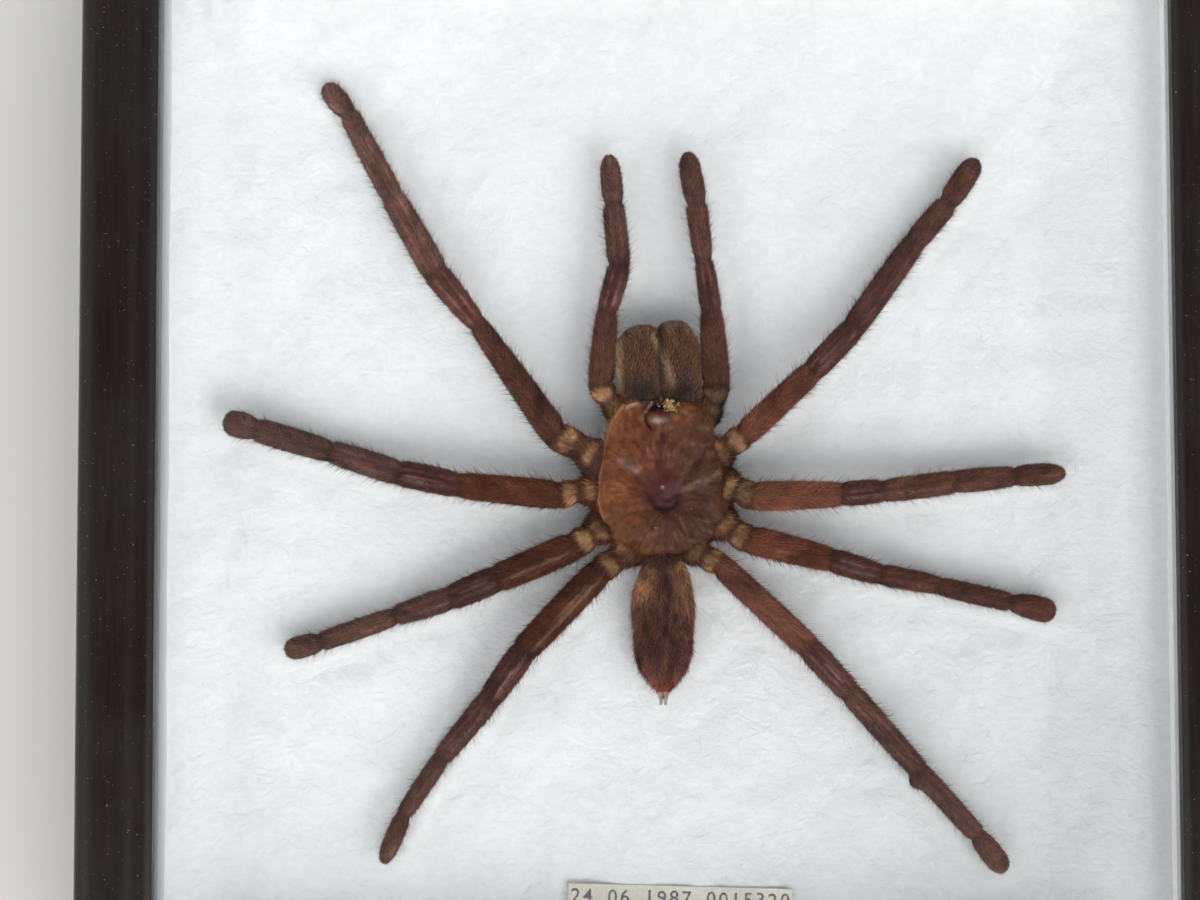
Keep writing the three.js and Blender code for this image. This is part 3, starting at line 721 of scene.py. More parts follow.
def make_point_tree():
    """Copies of one framer's point, two to each of the four rails."""
    tree, given = new_geometry_group(
        "points round the rabbet", Spread_along_a_rail="Float", Distance_out="Float", Metal="Material")
    index = add_node(tree, "GeometryNodeInputIndex").outputs["Index"]
    sign = add_math(tree, "MULTIPLY_ADD", add_math(tree, "MODULO", index, 2.0), 2.0, -1.0)
    rail = add_math(tree, "FLOOR", add_math(tree, "MULTIPLY", index, 0.5))
    turn = add_math(tree, "MULTIPLY", rail, math.pi / 2)
    along = add_math(tree, "MULTIPLY", sign, given["Spread along a rail"])
    spot = add_node(tree, "ShaderNodeCombineXYZ", {"X": along, "Y": given["Distance out"]})
    turned = add_node(tree, "ShaderNodeVectorRotate", {"Vector": spot.outputs["Vector"], "Angle": turn},
                      rotation_type="Z_AXIS")
    places = add_node(tree, "GeometryNodePoints", {"Count": 8, "Position": turned.outputs["Vector"]})
    angles = add_node(tree, "ShaderNodeCombineXYZ", {"Z": turn})
    rotation = add_node(tree, "FunctionNodeEulerToRotation", {"Euler": angles.outputs["Vector"]})
    copies = add_node(tree, "GeometryNodeInstanceOnPoints",
                      {"Points": places.outputs["Points"], "Instance": given["Skin"],
                       "Rotation": rotation.outputs["Rotation"]})
    return finish_group(tree, copies.outputs["Instances"], given["Metal"])


def plate_from_outline(outline, drops, top, thickness):
    """A thin plate on a closed outline; each outline point may drop by its own amount."""
    count = len(outline)
    points = [(x, y, top - thickness - drop) for (x, y), drop in zip(outline, drops)]
    points += [(x, y, top - drop) for (x, y), drop in zip(outline, drops)]
    faces = [tuple(reversed(range(count))), tuple(range(count, 2 * count))]
    for k in range(count):
        following = (k + 1) % count
        faces.append((k, following, count + following, count + k))
    return np.array(points), faces


def make_points():
    """Each is a strip with a pointed end, driven into the rail, and a rounded tail that droops a little."""
    half, tip = POINT["width"] / 2, POINT["driven"]
    tail = tip - POINT["length"]
    outline = [(half, tail + 1.2), (half, tail + 3), (half, -0.3), (half, tip - 2.6), (0.5, tip), (-0.5, tip),
               (-half, tip - 2.6), (-half, -0.3), (-half, tail + 3), (-half, tail + 1.2),
               (-half + 0.5, tail + 0.35), (-half + 1.4, tail), (half - 1.4, tail), (half - 0.5, tail + 0.35)]
    drops = [POINT["droop"] * rise(tail + 4 - y, 4) for _, y in outline]
    points, faces = plate_from_outline(outline, drops, POINT["top"], POINT["thickness"])
    piece = new_piece("framer_points", points * MM, faces)
    add_bevel(piece, 0.08)
    keep_result(piece)
    bake_tree(piece, make_point_tree(), {
        "Spread along a rail": POINT["spread"] * MM, "Distance out": RABBET_WALL * MM,
        "Metal": make_metal("point steel", (0.55, 0.55, 0.56), (0.3, 0.29, 0.28), 0.36)})
    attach(piece, "root")
    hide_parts(*[f"point_{number}" for number in range(1, 9)])


finish_node("backing_board", make_hardboard())
make_points()


# ------------------------------------------------------------------ hanger
# A pressed strip of plated steel with a toothed edge, joggled so that its middle stands off the board, and
# held at its feet by two domed brass rivets.
RIVET = {"head": 2.2, "shank": 1.2, "x": 19, "y": 72}


def merged_copy(name, node):
    """A CAD node's mesh as one closed shell with its flat faces whole."""
    mesh = nodes[node].data.copy()
    shell = bmesh.new()
    shell.from_mesh(mesh)
    bmesh.ops.remove_doubles(shell, verts=shell.verts, dist=1e-6)
    bmesh.ops.dissolve_limit(shell, angle_limit=math.radians(1), verts=shell.verts, edges=shell.edges)
    shell.to_mesh(mesh)
    shell.free()
    piece = bpy.data.objects.new(name, mesh)
    bpy.context.scene.collection.objects.link(piece)
    return piece


def make_hanger():
    hanger = merged_copy("saw_tooth_hanger", "hanger_plate")
    hanger.data.materials.clear()
    hanger.data.materials.append(make_metal("hanger steel", (0.58, 0.58, 0.6), (0.34, 0.33, 0.32), 0.3))
    add_bevel(hanger, 0.14)
    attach(hanger, "root")
    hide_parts("hanger_plate")


def make_rivet(side, x):
    low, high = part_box(f"hanger_rivet_{side}")
    head_low, head_high = low.z / MM, low.z / MM + 0.6
    profile = [(0.02, head_low), (0.9, head_low + 0.04), (1.6, head_low + 0.16), (2.05, head_low + 0.36),
               (RIVET["head"], head_low + 0.52), (2.12, head_high), (RIVET["shank"], head_high),
               (RIVET["shank"], high.z / MM - 0.25), (1.0, high.z / MM), (0.02, high.z / MM)]
    sides = 40
    angles = np.arange(sides) * math.tau / sides
    rings = [np.stack([x + r * np.cos(angles), RIVET["y"] + r * np.sin(angles), np.full(sides, z)], axis=1)
             for r, z in profile]
    faces = []
    for ring in range(len(profile) - 1):
        for k in range(sides):
            following = (k + 1) % sides
            faces.append((ring * sides + k, (ring + 1) * sides + k, (ring + 1) * sides + following,
                          ring * sides + following))
    faces = [tuple(reversed(face)) for face in faces]
    faces.append(tuple(reversed(range(sides))))
    faces.append(tuple((len(profile) - 1) * sides + k for k in range(sides)))
    rivet = new_piece(f"rivet_{side}", np.vstack(rings) * MM, faces, brass)
    smooth_faces(rivet, 35)
    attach(rivet, "root")
    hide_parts(f"hanger_rivet_{side}")


brass = make_metal("rivet brass", (0.62, 0.44, 0.18), (0.33, 0.22, 0.1), 0.28)
make_hanger()
make_rivet("left", RIVET["x"])
make_rivet("right", -RIVET["x"])


# ------------------------------------------------------------------ spider's hair
# Bristles that lie back along the skin toward a limb's tip: fine short hair with longer ones between.
# The skin's own attributes say where they grow ("growth"), how long ("reach") and which way ("lay").
def add_vector_math(tree, operation, *values):
    node = add_node(tree, "ShaderNodeVectorMath", dict(enumerate(values)), operation=operation)
    return node.outputs["Vector"]


def make_hair_tree():
    tree, given = new_geometry_group(
        "lying hair", Hairs_per_square_metre="Float", Length="Float", Thickness="Float", Lift="Float",
        Stray="Float", Curl="Float", Bends="Int", Seed="Int", Hair_material="Material")
    roots = add_roots(tree, given["Skin"], given["Hairs per square metre"], given["Seed"])
    bristle = add_node(tree, "GeometryNodeMeshCone", {
        "Vertices": 3, "Side Segments": given["Bends"], "Radius Top": 0, "Radius Bottom": 1, "Depth": 1})
    place = add_node(tree, "GeometryNodeInputPosition").outputs["Position"]
    along = add_node(tree, "ShaderNodeSeparateXYZ", {"Vector": place}).outputs["Z"]
    curl = add_math(tree, "MULTIPLY", add_math(tree, "MULTIPLY", along, along), given["Curl"])
    droop = add_node(tree, "ShaderNodeCombineXYZ", {"X": curl})
    curved = add_node(tree, "GeometryNodeSetPosition",
                      {"Geometry": bristle.outputs["Mesh"], "Offset": droop.outputs["Vector"]})
    measured = add_node(tree, "GeometryNodeStoreNamedAttribute",
                        {"Geometry": curved.outputs["Geometry"], "Name": "along", "Value": along},
                        data_type="FLOAT", domain="POINT")
    stray = add_random(tree, 21, (-1, -1, -1), (1, 1, 1))
    lifted, strayed = [
        add_node(tree, "ShaderNodeVectorMath", {0: vector, "Scale": scale}, operation="SCALE")
        .outputs["Vector"] for vector, scale in ((roots["Normal"], given["Lift"]), (stray, given["Stray"]))]
    leaning = add_vector_math(tree, "ADD", add_attribute(tree, "lay", "FLOAT_VECTOR"), lifted)
    heading = add_vector_math(tree, "ADD", leaning, strayed)
    stood = add_node(tree, "FunctionNodeAlignRotationToVector", {"Vector": heading}, axis="Z")
    faced = add_node(tree, "FunctionNodeAlignRotationToVector", {
        "Rotation": stood.outputs["Rotation"], "Vector": roots["Normal"]}, axis="X", pivot_axis="Z")
    long = add_math(tree, "MULTIPLY", add_random(tree, 22, 0.55, 1.25), given["Length"])
    longer = add_math(tree, "MULTIPLY", long, add_attribute(tree, "reach"))
    size = add_node(tree, "ShaderNodeCombineXYZ", {
        "X": given["Thickness"], "Y": given["Thickness"], "Z": longer})
    grown = add_node(tree, "GeometryNodeInstanceOnPoints",
                     {"Points": roots["Points"], "Instance": measured.outputs["Geometry"],
                      "Rotation": faced.outputs["Rotation"], "Scale": size.outputs["Vector"]})
    tone = add_node(tree, "FunctionNodeRandomValue", {"Seed": 23}, data_type="FLOAT")
    toned = add_node(tree, "GeometryNodeStoreNamedAttribute",
                     {"Geometry": grown.outputs["Instances"], "Name": "tone", "Value": tone.outputs[1]},
                     data_type="FLOAT", domain="INSTANCE")
    return finish_group(tree, toned.outputs["Geometry"], given["Hair material"], given["Skin"])


hair_tree = make_hair_tree()


def grow_hair(skin, hair, specks, *coats):
    """Each coat: (hairs per mm2, length mm, thickness mm, lift, stray, curl, bends). Specks: per mm2."""
    coats = [(*coat, hair) for coat in coats] + [(specks, 0.12, 0.08, 1.0, 0.5, 0.0, 1, dust)]
    for number, (density, length, thickness, lift, stray, curl, bends, material) in enumerate(coats):
        bake_tree(skin, hair_tree, {
            "Hairs per square metre": density * 1e6, "Length": length * MM, "Thickness": thickness * MM,
            "Lift": lift, "Stray": stray, "Curl": curl, "Bends": bends, "Seed": 31 + number,
            "Hair material": material})


def add_painted(tree, base, masks):
    """A base colour with further colours laid over it where the skin's named masks say."""
    for mask, colour in masks:
        base = add_mix(tree, add_mask(tree, mask), base, colour)
    return base


def make_worn_and_shaded_hair():
    """How light a hair is: by its own tone, by where it grows, with painted light and shade from the skin's
    shade values, and darker toward its root.
    """
    tree, given = new_group("worn and shaded hair", "ShaderNodeTree", {"Colour": "Color"}, {"Colour": "Color"})
    colour = given["Colour"]
    tone = add_ramp(tree, add_mask(tree, "tone"), (0.0, 0.45), (0.7, 0.85), (0.9, 1.05), (1.0, 1.45))
    root = add_ramp(tree, add_mask(tree, "along"), (0.0, 0.6), (0.5, 1.0))
    for mask in (tone, root, add_mask(tree, "shade")):
        colour = add_mix(tree, 1.0, colour, mask, "MULTIPLY")
    add_node(tree, "NodeGroupOutput", {"Colour": colour})
    return tree


def make_mottled_and_shaded_skin():
    """How light dry skin is, in small blotches, where it has worn and where its shade values paint light and
    shade; and the height of its grain.
    """
    tree, given = new_group("mottled and shaded skin", "ShaderNodeTree", {"Colour": "Color"},
                            {"Colour": "Color", "Height": "Float"})
    tone, height = add_grain(tree, object_place(tree), 900, 0.45, 1.0)
    colour = add_mix(tree, 1.0, given["Colour"], tone, "MULTIPLY")
    colour = add_mix(tree, 1.0, colour, add_mask(tree, "shade"), "MULTIPLY")
    add_node(tree, "NodeGroupOutput", {"Colour": colour, "Height": height})
    return tree


worn_and_shaded_hair = make_worn_and_shaded_hair()
mottled_and_shaded_skin = make_mottled_and_shaded_skin()


def make_hair_material(name, base, masks, gloss=0.55):
    """Hair in colours that the skin's masks choose between, darker and paler from hair to hair."""
    material, tree, shader = new_material(name)
    worn = add_node(tree, "ShaderNodeGroup", {"Colour": add_painted(tree, base, masks)}, node_tree=worn_and_shaded_hair)
    finish_shader(tree, shader, worn.outputs["Colour"], gloss)
    shader.inputs["Specular IOR Level"].default_value = 0.09
    return material


def make_skin_material(name, base, masks, roughness=0.5):
    """Dry skin or shell under the hair: mottled, and glossy where it is bare."""
    material, tree, shader = new_material(name)
    painted = add_painted(tree, base, masks)
    skin = add_node(tree, "ShaderNodeGroup", {"Colour": painted}, node_tree=mottled_and_shaded_skin)
    gloss = add_ramp(tree, add_mask(tree, "stripe"), (0.0, roughness), (1.0, 0.3))
    finish_shader(tree, shader, skin.outputs["Colour"], gloss, skin.outputs["Height"], 0.5, 0.0002)
    shader.inputs["Specular IOR Level"].default_value = 0.18
    return material


def make_grain_material(name, colour, roughness, coat=0.0):
    """Small dry or glassy grains, darker on some sides than on others."""
    material, tree, shader = new_material(name)
    cloud, _ = add_grain(tree, object_place(tree), 2600, start=0.35, stop=0.62, detail=2)
    finish_shader(tree, shader, add_mix(tree, cloud, [0.45 * value for value in colour], colour), roughness)
    shader.inputs["Coat Weight"].default_value = coat
    return material


dust = make_grain_material("pale dust", (0.8, 0.76, 0.7), 0.4, 0.3)


# ------------------------------------------------------------------ legs and palps
# Eight legs and two palps of the dried spider, each a chain of hairy tubes that narrows at its joints.
# The joints next to the body show pale skin and tan hair; knees and shins have bare glossy stripes, painted
# pale as highlights.
ARTICLES = ("coxa", "trochanter", "femur", "patella", "tibia", "metatarsus", "tarsus")
# How light each limb's hair has worn at the hip, on the femur and beyond the knee, and how red it still is on
# the femur and beyond the knee.
WEAR = {"palp_left": (0.95, 1.25, 1.6, 0.35, 0.1), "palp_right": (0.35, 1.15, 1.6, 0.3, 0.15),
        "leg_left_1": (1.05, 0.95, 2.5, 0.4, 0.0), "leg_left_2": (0.85, 0.78, 1.45, 1.0, 0.1),
        "leg_left_3": (0.62, 0.64, 1.5, 0.9, 0.2), "leg_left_4": (0.65, 0.7, 1.25, 1.0, 0.25),
        "leg_right_1": (0.8, 1.42, 1.15, 0.7, 0.3), "leg_right_2": (0.55, 1.72, 1.2, 0.6, 0.4),
        "leg_right_3": (0.7, 1.06, 0.86, 0.85, 0.6), "leg_right_4": (0.75, 1.5, 1.5, 0.5, 0.15)}
# How light the bare knees are beside the rest of the limb, where they differ from the usual.
KNEES = {"palp_left": 1.0, "palp_right": 0.98, "leg_left_1": 1.0, "leg_left_3": 0.64, "leg_left_4": 0.88,
         "leg_right_2": 0.58, "leg_right_3": 0.7}
OUTWARD = {"femur": 0.0, "patella": 0.5, "tibia": 1.0, "metatarsus": 1.0, "tarsus": 1.0}
# How bare each article is on top, and how high its two glossy stripes show; the stripes are painted pale as
# highlights.
BARENESS = {"patella": (1.0, 0.9), "tibia": (0.45, 0.6), "metatarsus": (0.1, 0.25)}
# A lump on the joint of one limb: the article it opens, its reach along the limb and its height, millimetres.
LUMPS = {"leg_right_4": ("metatarsus", 1.4, 1.15)}
HAIR_REACH = {"coxa": 1.0, "trochanter": 0.9, "femur": 1.15, "patella": 1.0, "tibia": 1.1, "metatarsus": 0.9,
              "tarsus": 0.75}
# Single bare lines along a limb, painted pale and tan as highlights: the article, how far round from the top,
# and from where to where.
STREAKS = {"leg_left_3": (("femur", 0.3, 0.05, 1.0), ("patella", -0.1, 0.15, 0.8)),
           "leg_left_4": (("femur", 0.42, 0.0, 1.0), ("femur", 0.12, 0.1, 0.7), ("patella", 0.2, 0.3, 0.9)),
           "leg_left_2": (("patella", 0.1, 0.2, 0.9),), "leg_right_1": (("patella", 0.0, 0.1, 0.9),),
           "leg_right_2": (("patella", 0.15, 0.1, 0.8),), "leg_right_3": (("patella", 0.2, 0.1, 0.7),),
           "leg_right_4": (("patella", 0.1, 0.3, 0.8),)}
# How far the skin lies below the tips of the short hair, in millimetres.
HAIR_ROOM = 0.42
# How far each hip reaches in under the carapace and how far it dips there, in millimetres, and how much
# it widens.
HIP_TUCK = 2.4
HIP_DIP = 1.6
HIP_FLARE = 0.6
LIMB_ANGLES = np.concatenate([np.linspace(0.1, math.pi - 0.1, 22),
                              np.linspace(math.pi + 0.25, math.tau - 0.25, 8)])
LIMB_SIDES = len(LIMB_ANGLES)
LIMB_FLATNESS = 0.92

# In the leg colours, pale paints the highlights on the glossy stripes and streaks.
leg_skin = make_skin_material("leg skin", (0.085, 0.040, 0.030), (
    ("red", (0.16, 0.040, 0.018)), ("tan", (0.56, 0.32, 0.16)), ("dark", (0.018, 0.009, 0.008)),
    ("plum", (0.075, 0.017, 0.018)), ("pale", (0.40, 0.22, 0.19))))
leg_hair = make_hair_material("leg hair", (0.18, 0.094, 0.077), (
    ("red", (0.36, 0.104, 0.050)), ("tan", (0.98, 0.50, 0.22)), ("dark", (0.05, 0.022, 0.016)),
    ("plum", (0.12, 0.032, 0.030))))


def paint_skin(piece, **masks):
    """Named values for each point of a piece."""
    for name, values in masks.items():
        set_attribute(piece, name, values, "FLOAT_VECTOR" if name == "lay" else "FLOAT")


def unit(vector):
    return vector / np.linalg.norm(vector)


def top_oval(from_middle, reach, from_top, spread):
    """How far each place round a limb is inside an oval on its top, from 0 to 1."""
    return rise(1.2 - np.hypot(from_middle / reach, from_top / spread), 0.4)


def limb_rings(name, joints):
    """Rings of the limb's skin with their attributes, from hip to tip."""
    points = [np.array(joint[:3]) for joint in joints]
    points[0] = points[0] - HIP_TUCK * unit((points[1] - points[0]) * (1, 1, 0)) - (0, 0, HIP_DIP)
    widths = [joint[3] for joint in joints]
    articles = list(ARTICLES) if len(joints) == 8 else [a for a in ARTICLES if a != "metatarsus"]
    seed = sum(ord(letter) for letter in name)
    random = np.random.default_rng(seed)
    hip_light, inner_light, outer_light, inner_red, outer_red = WEAR[name]
    angles = LIMB_ANGLES
    on_top, from_top = np.sin(angles), angles - math.pi / 2
    rings, values = [], {}
    for i, article in enumerate(articles):
        start, end = points[i], points[i + 1]
        length = np.linalg.norm(end - start)
        ahead = (end - start) / length
        behind = unit(points[i] - points[i - 1]) if i else ahead
        beyond = unit(points[i + 2] - points[i + 1]) if i + 2 < len(points) else ahead
        final, at_hip = i == len(articles) - 1, article in ("coxa", "trochanter")
        lightness = hip_light if at_hip else inner_light + (outer_light - inner_light) * OUTWARD[article]
        lightness *= KNEES.get(name, 0.78) if article == "patella" else 1
        redness = 0.9 * inner_red + (outer_red - inner_red) * OUTWARD.get(article, 0)
        wrinkle_phase = random.uniform(0, math.tau, 3)
        steps = max(6, int(length / 0.7))
        shares = np.linspace(0, 1, steps, endpoint=False)
        if final:
            shares = np.concatenate([shares[shares < 0.84], [0.87, 0.9, 0.93, 0.955, 0.975, 0.99, 1.0]])
        for share in shares:
            from_start, to_end = share * length, (1 - share) * length
            bend = max(0, 1 - from_start / 1.6) * 0.5
            lean = max(0, 1 - to_end / 1.6) * 0.5
            along = unit(ahead * (1 - bend - lean) + behind * bend + beyond * lean)
            side = unit(np.cross(along, (0, 0, 1)))
            up = np.cross(side, along)
            pinch = 0.035 if at_hip else 0.17 if final else 0.1
            neck = 1 - pinch * math.exp(-(from_start / 0.9) ** 2)
            if not final:
                neck -= 0.8 * pinch * math.exp(-(to_end / 0.7) ** 2)
            width = widths[i] + (widths[i + 1] - widths[i]) * share
            swell = (0.12 if final else 0.04) * math.sin(math.pi * share)
            radius = (width / 2) * neck * (1 + swell) - HAIR_ROOM
            if final:
                radius *= math.sqrt(max(0.0, 1 - max(0, (share - 0.74) / 0.26) ** 2)) * 0.94 + 0.06
            wrinkles = 0.02 * np.sin(3 * angles + wrinkle_phase[0] + share * 2)
            wrinkles += 0.016 * np.sin(7 * angles + wrinkle_phase[1] - share * 3)
            bareness, stripe_height = BARENESS.get(article, (0.0, 0.0))
            ends = rise(from_start, 1.2) * rise(to_end, 1.2)
            stripe = np.zeros(LIMB_SIDES)
            for offset in (-0.42, 0.42):
                stripe = np.maximum(stripe, stripe_height * ends * np.exp(-((from_top - offset) / 0.13) ** 2))
            streak = np.zeros(LIMB_SIDES)
            for streak_article, offset, start_share, end_share in STREAKS.get(name, ()):
                if streak_article == article:
                    reach = rise(share - start_share, 0.12) * rise(end_share - share, 0.12)
                    streak = np.maximum(streak, reach * np.exp(-((from_top - offset) / 0.1) ** 2))
            around = radius * (1 + wrinkles) - 0.14 * stripe
            if LUMPS.get(name, ("",))[0] == article:
                _, lump_reach, lump_height = LUMPS[name]
                lump = lump_height * math.exp(-((from_start - 0.8) / lump_reach) ** 2)
                around += lump * rise(0.4 + np.cos(angles), 1.2)
            centre = start + (end - start) * share
            flare = 1 + HIP_FLARE * (1 - rise(from_start - HIP_TUCK, 4.6)) if article == "coxa" else 1
            ring = centre + np.outer(np.cos(angles) * around * flare, side) \
                + np.outer(np.sin(angles) * around * LIMB_FLATNESS, up)
            rings.append(ring)
            spread = centre[0] + 3 * np.cos(angles), centre[1] + 3 * np.sin(angles)
            patchy = value_noise(*spread, 1.6, seed + 1)
            combed = value_noise(angles * 6, np.full(LIMB_SIDES, (i * 40 + from_start) / 2.6), 1.0, seed + 2)
            # Streaks are tinted tan as painted highlights; the rest is tan hair on top.
            tan = np.maximum(0.3 * streak, 0.08 * rise(combed - 0.3, 0.5) * rise(on_top, 0.6))
            if article == "trochanter":
                tan = np.maximum(tan, top_oval(from_start - 0.5 * length, 1.05, from_top, 1.15))
            elif article == "coxa":
                patch_middle = 0.38 * (length - HIP_TUCK)
                tan = np.maximum(tan, 0.7 * top_oval(to_end - patch_middle, 0.85, from_top, 0.9))
            strands = value_noise(angles * 9, np.full(LIMB_SIDES, (i * 40 + from_start) / 5), 1.0, seed + 3)
            tan *= 0.85 + 0.4 * patchy + 0.45 * strands * at_hip
            # Painted shade: the hips darker on their lower sides, in the shadow between them.
            dark = 0.75 * rise(0.5 - on_top, 0.9) * at_hip
            dark = np.maximum(dark, 0.7 * math.exp(-(to_end / 0.45) ** 2) * (article == "coxa"))
            tan = np.clip(tan, 0, 1)
            bare = bareness * ends * np.exp(-(from_top / 0.75) ** 2) * (0.75 + 0.4 * patchy)
            hairless = np.maximum.reduce([0.95 * stripe, streak, 0.94 * np.clip(bare, 0, 1)])
            around_limb = np.outer(np.sin(angles), side) - np.outer(np.cos(angles), up)
            downhill = np.cos(angles)[:, None] * around_limb
            joint_shade = max(math.exp(-(to_end / 0.7) ** 2), math.exp(-(from_start / 0.5) ** 2))
            mottle_and_top_light = 0.84 + 0.3 * value_noise(*spread, 3.5, seed)
            mottle_and_top_light += 0.2 * patchy
            # Painted light: each limb's top is lighter and its sides darker, as light falls from above.
            mottle_and_top_light *= (0.5 + 0.68 * rise(on_top + 0.05, 0.95)) * (1 + 0.1 * combed)
            mottle_and_top_light *= 1 - 0.4 * joint_shade * (not at_hip)
            ring_values = {
                "lay": along + 0.45 * downhill,
                "growth": np.clip(0.35 + 1.1 * (on_top + 0.5), 0.1, 1) * (1 - hairless),
                "reach": HAIR_REACH[article] * (1 - 0.55 * rise(share - 0.55, 0.45) * final),
                "red": redness, "tan": tan, "dark": dark * (1 - tan), "plum": np.clip(bare * 1.1, 0, 1),
                # The pale mask is painted highlight along the stripes and streaks.
                "pale": np.maximum(0.75 * streak, 0.45 * stripe) * (0.7 + 0.3 * patchy),
                "shade": mottle_and_top_light * lightness, "tone": 0.5,
                "stripe": np.clip(np.maximum.reduce([stripe, streak, 0.7 * bare]), 0, 1)}
            for key, value in ring_values.items():
                shape = (LIMB_SIDES, 3) if key == "lay" else LIMB_SIDES
                values.setdefault(key, []).append(np.broadcast_to(value, shape))
    return rings, {key: np.concatenate(value) for key, value in values.items()}


def make_limb(name, joints):
    rings, values = limb_rings(name, joints)
    limb = new_piece(f"{name}_haired", np.vstack(rings) * MM, tube_faces(len(rings), LIMB_SIDES), leg_skin)
    smooth_faces(limb)
    paint_skin(limb, **values)
    grow_hair(limb, leg_hair, 0.05, (16.0, 0.85, 0.045, 0.36, 0.36, -0.12, 1),
              (1.3, 1.6, 0.036, 0.46, 0.4, -0.3, 2), (2.2, 2.1, 0.034, 1.0, 0.5, -0.25, 2))
    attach(limb, "root")
    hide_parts(name)


for limb_name, limb_joints in LIMBS.items():
    make_limb(limb_name, limb_joints)


# ------------------------------------------------------------------ carapace
# The hard shield over the spider's front body: half-glossy shell with a crescent pit in its middle, grooves
# that run from it to the hips, and thin golden hair. It is broken and sunken round the eyes.
CARAPACE = ((-14.6, -0.5, 2.6, 16.8, 18.4), (-13.8, -0.5, 5.6, 15.8, 19.4), (-11.4, -0.4, 9.2, 15, 20.4),
            (-7, -0.4, 11.5, 14.7, 21), (-3, -0.7, 11.3, 14.7, 21.3), (1, -0.7, 10.8, 14.7, 21.5),
            (5, -0.8, 9.9, 14.8, 21.7), (8.6, -0.7, 9.0, 15, 21.8), (11.4, -0.7, 7.9, 15.6, 21.6),
            (12.5, -0.7, 7, 16.6, 20.8))
PIT = (-0.1, -5.4)
PIT_CRESCENT = ((-2.3, -5.2), (-1.3, -6.2), (-0.1, -6.6), (1.1, -6.3), (2.0, -5.4))
HEAD_GROOVES = (((-2.2, -4.2), (-4.8, -1.2), (-7.4, 1.2)), ((1.8, -4.2), (4.2, -0.4), (6.6, 2.8)))
SIDE_GROOVES = (22, 158, -18, 198, -55, 235)
HEAD_RIDGE = ((-7.6, 2.1), (-6.4, 1.0), (-5.0, 0.1))
PALE_RIDGE = ((3.5, -3.1), (6.5, -1.4), (9.8, -0.1))
FRONT_FOLDS = (((-6.6, 11.2), (-4.6, 11.9), (-1.8, 12.3)), ((-3.3, 10.3), (-2.2, 12.0)))
CRACK = ((-2.6, 11.4), (-3.4, 9.6), (-3.3, 8.6), (-2.6, 7.5))
EYE_HOLLOW = (-0.9, 11.3)
GLASSY_SPECKS = ((-1.3, 11.5, 21.7), (-1.0, 11.2, 21.6), (1.4, 12.1, 21.5), (-2.3, 11.9, 21.6),
                 (-8.7, 8.5, 20.2), (-1.7, -9.8, 20.7), (-0.45, -2.75, 21.75), (-7.8, -1.8, 20.6))
# How far the body below the shield reaches out between the hips, in millimetres.
LEDGE = 1.5
LEFT_RIM = ((-10.4, -10), (-11.6, -5), (-11.2, 0.2), (-10.3, 5.3), (-9.1, 8.9), (-7.2, 11.4))
REAR_SCRATCHES = (((-1.4, -7.3), (-2.9, -8.9)), ((-1.7, -9.7), (-5.2, -12.3)), ((-0.9, -7.7), (-2.4, -9.4)),
                  ((2.2, -8.2), (3.6, -11)))


def near_line(x, y, path, width):
    """How close each place is to a path of points, from 0 to 1."""
    closest = np.full_like(x, 1e9)
    for (ax, ay), (bx, by) in zip(path, path[1:]):
        length = (bx - ax) ** 2 + (by - ay) ** 2
        share = np.clip(((x - ax) * (bx - ax) + (y - ay) * (by - ay)) / length, 0, 1)
        closest = np.minimum(closest, np.hypot(x - ax - share * (bx - ax), y - ay - share * (by - ay)))
    return np.exp(-(closest / width) ** 2)


def near_lines(x, y, paths, width):
    return np.maximum.reduce([near_line(x, y, path, width) for path in paths])


def near_spot(x, y, middle_x, middle_y, radius_x, radius_y=None):
    return np.exp(-((x - middle_x) / radius_x) ** 2 - ((y - middle_y) / (radius_y or radius_x)) ** 2)


def side_grooves(x, y, width):
    out_x, out_y = x - PIT[0], y - PIT[1]
    depth = np.zeros_like(x)
    for heading in SIDE_GROOVES:
        angle = math.radians(heading)
        out = out_x * math.cos(angle) + out_y * math.sin(angle)
        aside = out_y * math.cos(angle) - out_x * math.sin(angle) + 0.5 * np.sin(out / 2.2 + heading)
        fade = np.where(out > 0, np.clip(1.05 - out / 10.5, 0, 1), 0)
        depth = np.maximum(depth, fade * np.exp(-(aside / width) ** 2))
    return depth


def carapace_relief(x, y):
    """How far the shell stands above its plain dome, in millimetres."""
    lift = 0.55 * near_spot(x, y, -0.6, 4.5, 4.5) - 0.5 * near_line(x, y, PIT_CRESCENT, 0.5)
    lift -= 0.45 * near_spot(x, y, PIT[0], PIT[1], 2.4) - 0.35 * near_spot(x, y, -0.45, -2.9, 0.9, 1.3)
    for groove in HEAD_GROOVES:
        lift -= 0.4 * near_line(x, y, groove, 0.75)
    lift -= 0.3 * side_grooves(x, y, 0.9)
    lift += 0.4 * near_line(x, y, HEAD_RIDGE, 0.6)
    lift += 0.4 * near_line(x, y, PALE_RIDGE, 0.8)
    for fold in FRONT_FOLDS:
        lift += 0.5 * near_line(x, y, fold, 0.3)
    lift += 0.75 * near_spot(x, y, -0.7, 10.2, 2.6, 2.0)
    lift -= 1.9 * near_spot(x, y, *EYE_HOLLOW, 2.4, 0.85) + 0.6 * near_line(x, y, CRACK, 0.28)
    lift += 0.18 * near_line(x, y, LEFT_RIM, 0.35)
    for scratch in REAR_SCRATCHES:
        lift -= 0.14 * near_line(x, y, scratch, 0.2)
    out = np.hypot(x - PIT[0], y - PIT[1])
    heading = np.arctan2(y - PIT[1], x - PIT[0])
    lift += 0.11 * value_noise(heading * 6, out / 3.2, 0.35, 4) * rise(out - 2, 3)
    return lift + 0.2 * value_noise(x, y, 2.1, 5) + 0.04 * value_noise(x, y, 0.7, 6)


